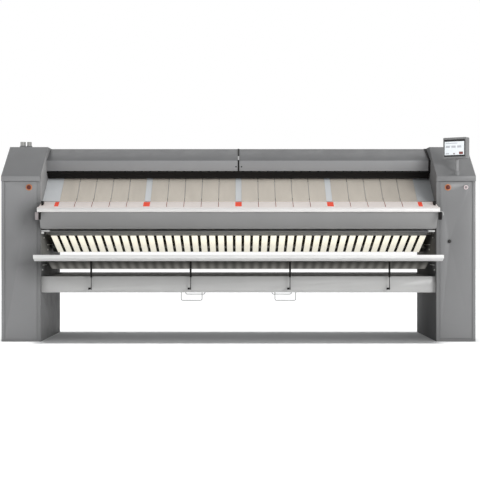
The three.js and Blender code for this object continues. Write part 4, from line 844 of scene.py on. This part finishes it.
class IRONER_OT_roll(bpy.types.Operator):
    """Turn the heated roll and the rollers smooth, and finish the drive"""

    bl_idname = "ironer.roll"
    bl_label = "Roll, rollers and drive"

    def execute(self, context):
        low, high = (v.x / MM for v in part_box("heated_roll"))
        bore, tip, journal, edge = 18, 22, 45, 2
        face, shoulder = INNER - 50, 1824
        hollow, end = ROLL_RADIUS - 12, face - 20
        profile = [(bore, low), (tip, low), (tip, -shoulder), (journal, -shoulder), (journal, -face),
                   (ROLL_RADIUS - edge, -face), (ROLL_RADIUS, edge - face), (ROLL_RADIUS, face - edge),
                   (ROLL_RADIUS - edge, face), (journal, face), (journal, high), (bore, high),
                   (bore, end), (hollow, end), (hollow, -end), (bore, -end), (bore, low)]
        ride(turned("heated_roll_turned", "x", profile, (0.0, *ROLL), "polished", 128), "roll",
             ("heated_roll",))
        for node, place in BELT_ROLLERS.items():
            self.roller(node, place, ROLLER_RADIUS)
        self.roller("feed_roller_front", FEED_FRONT, FEED_ROLLER_RADIUS)
        dressed("stainless", "feed_roller_back")
        dressed("cast", "roll_pulley", "roll_bearing_left", "roll_bearing_right", "steam_joint")
        dressed("motor", "gear_motor")
        dressed("rubber", "feed_drive_belt")
        return {"FINISHED"}

    def roller(self, node, place, radius):
        """A solid roller with journals, its edges broken by 1 mm."""
        journal, face, end = 15, INNER - 20, INNER + 18
        profile = [(0, -end), (journal, -end), (journal, -face), (radius - 1, -face),
                   (radius, 1 - face), (radius, face - 1), (radius - 1, face), (journal, face),
                   (journal, end), (0, end)]
        piece = turned(node + "_turned", "x", profile, (0, *place), "stainless", 48)
        ride(piece, BODY_OF[node], (node,))


class IRONER_OT_ironing_belts(bpy.types.Operator):
    """Lay the row of ironing belts round the roll and its rollers"""

    bl_idname = "ironer.ironing_belts"
    bl_label = "Ironing belts"

    def execute(self, context):
        size = context.scene.ironer_sizes
        around = BELT_SEAT + BELT_THICK / 2
        pulleys = [(place, ROLLER_RADIUS + around, 1) for place in BELT_ROLLERS.values()]
        pulleys.insert(1, (ROLL, ROLL_RADIUS + around, -1))
        belt = belt_loop("ironing_belt_row", pulleys, BELT_THICK, size.belt_width, "ironing")
        in_rows(belt, "ironing", size.belt_count, size.belt_pitch)
        half = INNER - 0.3
        rest = block("belt_rest", (-half, half), (1200.6, 1210.2), (1270, 1310), "stainless")
        ride(joined("ironing_belts_woven", [belt, rest]), "machine",
             ("ironing_belts",))
        return {"FINISHED"}


class IRONER_OT_feed_table(bpy.types.Operator):
    """Lay the feed belts in their lanes, with the nose plate, front bar and apron"""

    bl_idname = "ironer.feed_table"
    bl_label = "Feed table and nose"

    def execute(self, context):
        size = context.scene.ironer_sizes
        pitch = size.lane_belt_width + size.lane_belt_gap
        middle = FEED_ROLLER_RADIUS + BELT_SEAT + FEED_BELT_THICK / 2
        pulleys = [(FEED_BACK, middle, 1), (FEED_FRONT, middle, 1)]
        belt = belt_loop("feed_belt_rows", pulleys, FEED_BELT_THICK, size.lane_belt_width, "feed")
        in_rows(belt, "feed", size.lane_belts, pitch, size.lane_count, size.lane_pitch)
        ride(belt, "machine", ["feed_belts_%d" % (k + 1) for k in range(4)])
        dressed("lane", "feed_bed")
        softened("feed_nose", "nose", 1.2)
        softened("apron", "apron", 0.7)
        # painted light: the left end cap is pale grey where the same cap on the right is black
        softened("bar_end_cap_left", "grey", 2.0)
        softened("bar_end_cap_right", "guard", 2.0)
        self.ends()
        self.markers(size, pitch)
        return {"FINISHED"}

    def ends(self):
        """Black stops on the nose plate's ends, and the small fittings under the bar's ends."""
        parts = [block("stop", x, (-60, 20), (1170, 1220), "guard", 1.5)
                 for x in ((-1706, -1691), (1689, 1706))]
        parts.append(block("hanger", (-1716, -1700), (-140, -116), (1057, 1121), "guard", 1.5))
        hook = ((1728, 1127), (1744, 1129), (1756, 1121), (1760, 1107), (1760, 1095))
        parts.append(swept("hook", [(x, -130, z) for x, z in hook], 2.6, "fitting"))
        ride(joined("bar_end_fittings", parts), "machine")

    def markers(self, size, pitch):
        """Red marks at the lanes' joints, and fine lines at the belts' joints, on the nose plate.

        They lean inwards towards the front, by a share of what makes them look upright from the front.
        """
        high = corners("feed_nose")[1]
        back_y, back_z = high.y - SHIFT_Y, high.z
        slope = math.tan(math.radians(12.9))
        skin, end_pitch = 0.05, 3158.0
        share, level, distance = 0.5, 110.0, 11450.0
        lanes, wide, fine = (size.lane_count, size.lane_pitch), (14, 205), (3, 226)
        for name, width, (near, far), lift, material, row in (
                ("lane_marks", 56, wide, 0.7, "marker", (size.lane_count - 1, size.lane_pitch)),
                ("end_marks", 36, wide, 0.7, "marker", (2, end_pitch)),
                ("belt_lines", 5, fine, 0.6, "tick", (size.lane_belts - 1, pitch, *lanes))):
            section = [(back_y - d, back_z - d * slope + up) for d, up in
                       ((near, skin), (far, skin), (far, lift), (near, lift))]
            rows = in_rows(profile_x(name, section, -width / 2, width / 2, material), material, *row)
            for vertex in rows.data.vertices:
                depth = back_y - (vertex.co.y / MM - SHIFT_Y)
                vertex.co.x *= 1.0 - share * (depth - level) / distance
            ride(rows, "machine")


class IRONER_OT_exit(bpy.types.Operator):
    """Finish the exit chute, guide sheet, tray and wire racks"""

    bl_idname = "ironer.exit"
    bl_label = "Exit, tray and racks"

    def execute(self, context):
        softened("exit_chute", "chute", 0.6)
        tabs = [block("tab", x, (-6, -1), z, "fitting", 1.0) for x, z in
                (((-1712, -1640), (956, 966)), ((-1712, -1690), (936, 954)), ((1650, 1706), (954, 966)))]
        ride(joined("chute_tabs", tabs), "machine")
        dressed("guide", "guide_sheet")
        softened("collecting_tray", "tray", 0.8)
        self.rack("left", -1)
        self.rack("right", 1)
        return {"FINISHED"}

    def rack(self, side, sign):
        """Two bent hoops, and the two runners that they hang from."""
        wire, runner, bend = 3.5, 5.0, 12
        low, high = corners("wire_rack_" + side)
        near, far = sorted((abs(low.x), abs(high.x)))
        near, far = near + wire, far - wire
        front, back, top = low.y - SHIFT_Y + runner, high.y - SHIFT_Y - runner, high.z - runner
        parts = []
        for y, bottom in ((front, 356.0), (back, 372.0)):
            route = [(near, top)]
            for centre, start in ((near + bend, 180), (far - bend, 270)):
                route += [polar((centre, bottom + bend), bend, start + 15 * k) for k in range(7)]
            route.append((far, top))
            parts.append(swept("hoop", [(sign * x, y, z) for x, z in route], wire, "wire"))
        for x in (sign * near, sign * far):
            ends = [(x, front - runner, top), (x, back + runner, top)]
            parts.append(swept("runner", ends, runner, "wire"))
        ride(joined("wire_rack_%s_bent" % side, parts), "machine", ("wire_rack_" + side,))


class IRONER_OT_shelf(bpy.types.Operator):
    """Finish the receiving shelf and its four gas struts"""

    bl_idname = "ironer.shelf"
    bl_label = "Receiving shelf and struts"

    def execute(self, context):
        softened("receiving_shelf", "white", 0.7)
        for k in range(4):
            self.strut(k + 1)
        return {"FINISHED"}

    def strut(self, number):
        """A cylinder and rod, with an eye on each, and the foot beside the lower eye."""
        cylinder, rod = "strut_cylinder_%d" % number, "strut_rod_%d" % number
        low, high = corners(cylinder)
        x, y = (low.x + high.x) / 2, (low.y + high.y) / 2 - SHIFT_Y
        eye = [(5.7, -4), (9, -4), (10, -3), (10, 3), (9, 4), (5.7, 4), (5.7, -4)]
        bore, radius, mouth, top = 6, 8.5, SHELF_PIN - 177, SHELF_PIN - 9
        tube = [(bore, mouth), (8, mouth), (radius, mouth + 1.5), (radius, mouth + 8), (8.1, mouth + 9),
                (radius, mouth + 10), (radius, top - 7), (7, top - 3), (4, top), (0, top), (0, top - 11),
                (bore, top - 11), (bore, mouth)]
        body = joined(cylinder + "_turned", [
            turned("tube", "z", tube, (x, y, 0), "guard", 24),
            turned("top_eye", "x", eye, (x, y, SHELF_PIN), "guard", 24)])
        ride(body, cylinder, (cylinder,))
        thick, foot, end = 3.2, TRAY_PIN + 8, SHELF_PIN - 99
        shaft = [(0, foot), (2.6, foot), (thick, foot + 2), (thick, end - 2), (2.4, end), (0, end)]
        stem = joined(rod + "_turned", [
            turned("shaft", "z", shaft, (x, y, 0), "shaft", 20),
            turned("foot_eye", "x", eye, (x, y, TRAY_PIN), "guard", 24)])
        ride(stem, rod, (rod,))
        lug = block("strut_foot_%d" % number, (x - 26, x - 5.6), (y - 10, y),
                    (TRAY_PIN - 9, TRAY_PIN + 9), "guard", 2.0)
        ride(lug, "machine")


class IRONER_OT_controls(bpy.types.Operator):
    """Finish the emergency stops, start button, lock and their rings"""

    bl_idname = "ironer.controls"
    bl_label = "Buttons and lock"

    def execute(self, context):
        height, estop_x = 1340, 1820.0
        head = [(0, -26), (6, -25.8), (12, -24.6), (17, -21), (19, -16.5), (19, -11.5), (18, -10),
                (8, -10), (8, 11), (0, 11)]
        plate = [(9.6, -4.2), (26.5, -4.2), (27.4, -4.4), (27.4, -4.7), (27, -4.9), (9.6, -4.9),
                 (9.6, -4.2)]
        for side, x, carrier in (("left", -estop_x, "machine"), ("right", estop_x, "door")):
            button = turned("estop_%s_turned" % side, "y", head, (x, 0, height), "red", 40)
            ride(button, BODY_OF["estop_" + side], ("estop_" + side,))
            ring = turned("estop_%s_plate" % side, "y", plate, (x, 0, height), "amber", 40)
            ride(ring, carrier)
        start = (1976, 0, height)
        cap = [(0, -12), (9, -12), (11, -10.6), (11, -8.2), (8, -8), (8, 11), (0, 11)]
        ride(turned("start_button_turned", "y", cap, start, "grey", 32), "start_button",
             ("start_button",))
        collar = [(12.5, -4.1), (18.6, -4.1), (18.6, -8), (17.6, -9), (13.5, -9), (12.5, -8),
                  (12.5, -4.1)]
        ride(turned("start_button_ring", "y", collar, start, "pink", 32), "door")
        softened("door_lock", "dark", 0.8)
        return {"FINISHED"}


class IRONER_OT_screen(bpy.types.Operator):
    """Finish the screen with its bezel and picture, and the post"""

    bl_idname = "ironer.screen"
    bl_label = "Screen and post"

    def execute(self, context):
        dressed("cabinet", "screen_post")
        softened("screen_housing", "screen", 2.0)
        turn = Matrix.Translation(at(1902, 15, 0)) @ Matrix.Rotation(math.radians(-34), 4, "Z")
        back = turn @ Matrix.Translation(at(0, 0, 0)).inverted()

        def panel(name, x, y, z, material):
            piece = block(name, x, y, z, material)
            piece.data.transform(back)
            return piece

        parts = [panel("bezel", (-108, 88), (-33.2, -32.6), (1607, 1757), "bezel"),
                 panel("page", (-102, 81), (-33.9, -33.3), (1621, 1738), "display")]
        upper, lower = (1684, 1702), (1626, 1638)
        parts += [panel("tile", x, (-34.3, -33.95), z, material) for x, z, material in (
            ((-92, 18), (1720, 1727), "block"), ((-92, -52), upper, "block"), ((-38, 2), upper, "block"),
            ((16, 54), upper, "block"), ((-92, -60), (1628, 1640), "block"), ((-22, -4), lower, "grey"),
            ((34, 70), (1626, 1648), "alert"))]
        glass = joined("screen_face", parts)
        ride(glass, "screen")
        return {"FINISHED"}


class IRONER_OT_pipes(bpy.types.Operator):
    """Finish the steam inlet and condensate pipes"""

    bl_idname = "ironer.pipes"
    bl_label = "Pipes"

    def execute(self, context):
        dressed("pipe", "steam_inlet_pipe", "condensate_pipe")
        return {"FINISHED"}


class IRONER_OT_stage(bpy.types.Operator):
    """Set up the floor, light, background and camera"""

    bl_idname = "ironer.stage"
    bl_label = "Stage"

    def execute(self, context):
        scene = context.scene
        scene.view_settings.view_transform = "Standard"
        self.world(scene)
        floor = self.floor()
        key = self.lamp("key", "AREA", (6200, -7600, 3300), (0, 0, 1000), 330)
        key.data.size = 2600 * MM
        above = self.lamp("above", "SUN", (0, 0, 6000), (0, 0, 0), 3.0)
        above.data.angle = math.radians(9)
        self.shines_on(key, floor, "EXCLUDE")
        self.shines_on(above, floor, "INCLUDE")
        self.camera(scene)
        return {"FINISHED"}

    def world(self, scene):
        """A soft grey studio, which shows as white."""
        world = bpy.data.worlds.new("studio")
        scene.world = world
        world.use_nodes = True
        tree = world.node_tree
        tree.nodes.clear()
        plain, seen = (add_node(tree, "ShaderNodeBackground", {"Color": colour, "Strength": strength})
                       for colour, strength in (((0.96, 0.98, 1.0, 1.0), 0.48),
                                                ((1.0, 1.0, 1.0, 1.0), 1.0)))
        mix = add_node(tree, "ShaderNodeMixShader",
                       {0: self.seen_by_eye(tree), 1: plain.outputs[0], 2: seen.outputs[0]})
        add_node(tree, "ShaderNodeOutputWorld", {"Surface": mix.outputs[0]})

    @staticmethod
    def seen_by_eye(tree):
        """1 for rays from the camera, a glossy surface or glass."""
        path = add_node(tree, "ShaderNodeLightPath").outputs
        total = path["Is Camera Ray"]
        for label in ("Is Glossy Ray", "Is Transmission Ray"):
            total = add_node(tree, "ShaderNodeMath", {0: total, 1: path[label]},
                             operation="MAXIMUM").outputs[0]
        return total

    def floor(self):
        """A white floor, with a weak light of its own where it is seen."""
        mesh = bpy.data.meshes.new("floor")
        far = 30.0
        mesh.from_pydata([(-far, -far, 0), (far, -far, 0), (far, far, 0), (-far, far, 0)], [],
                         [(0, 1, 2, 3)])
        floor = in_scene("floor", mesh)
        material = bpy.data.materials.new("floor_white")
        material.use_nodes = True
        tree = material.node_tree
        tree.nodes.clear()
        matt = add_node(tree, "ShaderNodeBsdfDiffuse", {"Color": (0.80, 0.80, 0.80, 1.0)})
        strength = add_node(tree, "ShaderNodeMath", {0: self.seen_by_eye(tree), 1: 0.045},
                            operation="MULTIPLY")
        glow = add_node(tree, "ShaderNodeEmission", {"Strength": strength.outputs[0]})
        both = add_node(tree, "ShaderNodeAddShader", {0: matt.outputs[0], 1: glow.outputs[0]})
        add_node(tree, "ShaderNodeOutputMaterial", {"Surface": both.outputs[0]})
        mesh.materials.append(material)
        return floor

    def lamp(self, name, kind, place, target, power):
        """A lamp at a machine place, aimed at another."""
        light = bpy.data.lights.new(name, kind)
        light.energy = power
        lamp = in_scene(name, light)
        lamp.location = at(*place)
        lamp.rotation_euler = (at(*target) - at(*place)).to_track_quat("-Z", "Y").to_euler()
        return lamp

    @staticmethod
    def shines_on(lamp, piece, state):
        """Has a lamp light one piece only (INCLUDE), or all but that piece (EXCLUDE)."""
        lit = bpy.data.collections.new(lamp.name + " receivers")
        lit.objects.link(piece)
        lamp.light_linking.receiver_collection = lit
        lit.collection_objects[0].light_linking.link_state = state

    def camera(self, scene):
        """A level camera in front of the machine, its picture shifted by a few pixels."""
        picture = 480.0
        data = bpy.data.cameras.new("camera")
        data.sensor_width = 36.0
        data.lens = 98.65
        data.shift_x = 1.5 / picture
        data.shift_y = 3.5 / picture
        data.clip_end = 200.0
        camera = in_scene("camera", data)
        camera.location = at(0, -11430, 852)
        camera.rotation_euler = (math.radians(90), 0, 0)
        scene.camera = camera


class IRONER_PT_panel(bpy.types.Panel):
    """Lists the steps that build the machine"""

    bl_idname = "IRONER_PT_panel"
    bl_label = "Flatwork ironer"
    bl_space_type = "VIEW_3D"
    bl_region_type = "UI"
    bl_category = "Ironer"

    def draw(self, context):
        layout = self.layout
        for group in (context.scene.ironer_sizes, context.scene.ironer_colours):
            column = layout.column(align=True)
            for key in group.__annotations__:
                column.prop(group, key)
        column = layout.column(align=True)
        for step in STEPS:
            column.operator(step.bl_idname)


STEPS = (IRONER_OT_finishes, IRONER_OT_cabinets, IRONER_OT_hood, IRONER_OT_roll,
         IRONER_OT_ironing_belts, IRONER_OT_feed_table, IRONER_OT_exit, IRONER_OT_shelf,
         IRONER_OT_controls, IRONER_OT_screen, IRONER_OT_pipes, IRONER_OT_stage)
CLASSES = (IronerColours, IronerSizes, *STEPS, IRONER_PT_panel)


def register():
    for cls in CLASSES:
        bpy.utils.register_class(cls)
    bpy.types.Scene.ironer_colours = PointerProperty(type=IronerColours)
    bpy.types.Scene.ironer_sizes = PointerProperty(type=IronerSizes)


def unregister():
    del bpy.types.Scene.ironer_sizes
    del bpy.types.Scene.ironer_colours
    for cls in reversed(CLASSES):
        bpy.utils.unregister_class(cls)


def main():
    register()
    for step in STEPS:
        group, name = step.bl_idname.split(".")
        getattr(getattr(bpy.ops, group), name)()


if __name__ == "__main__":
    main()
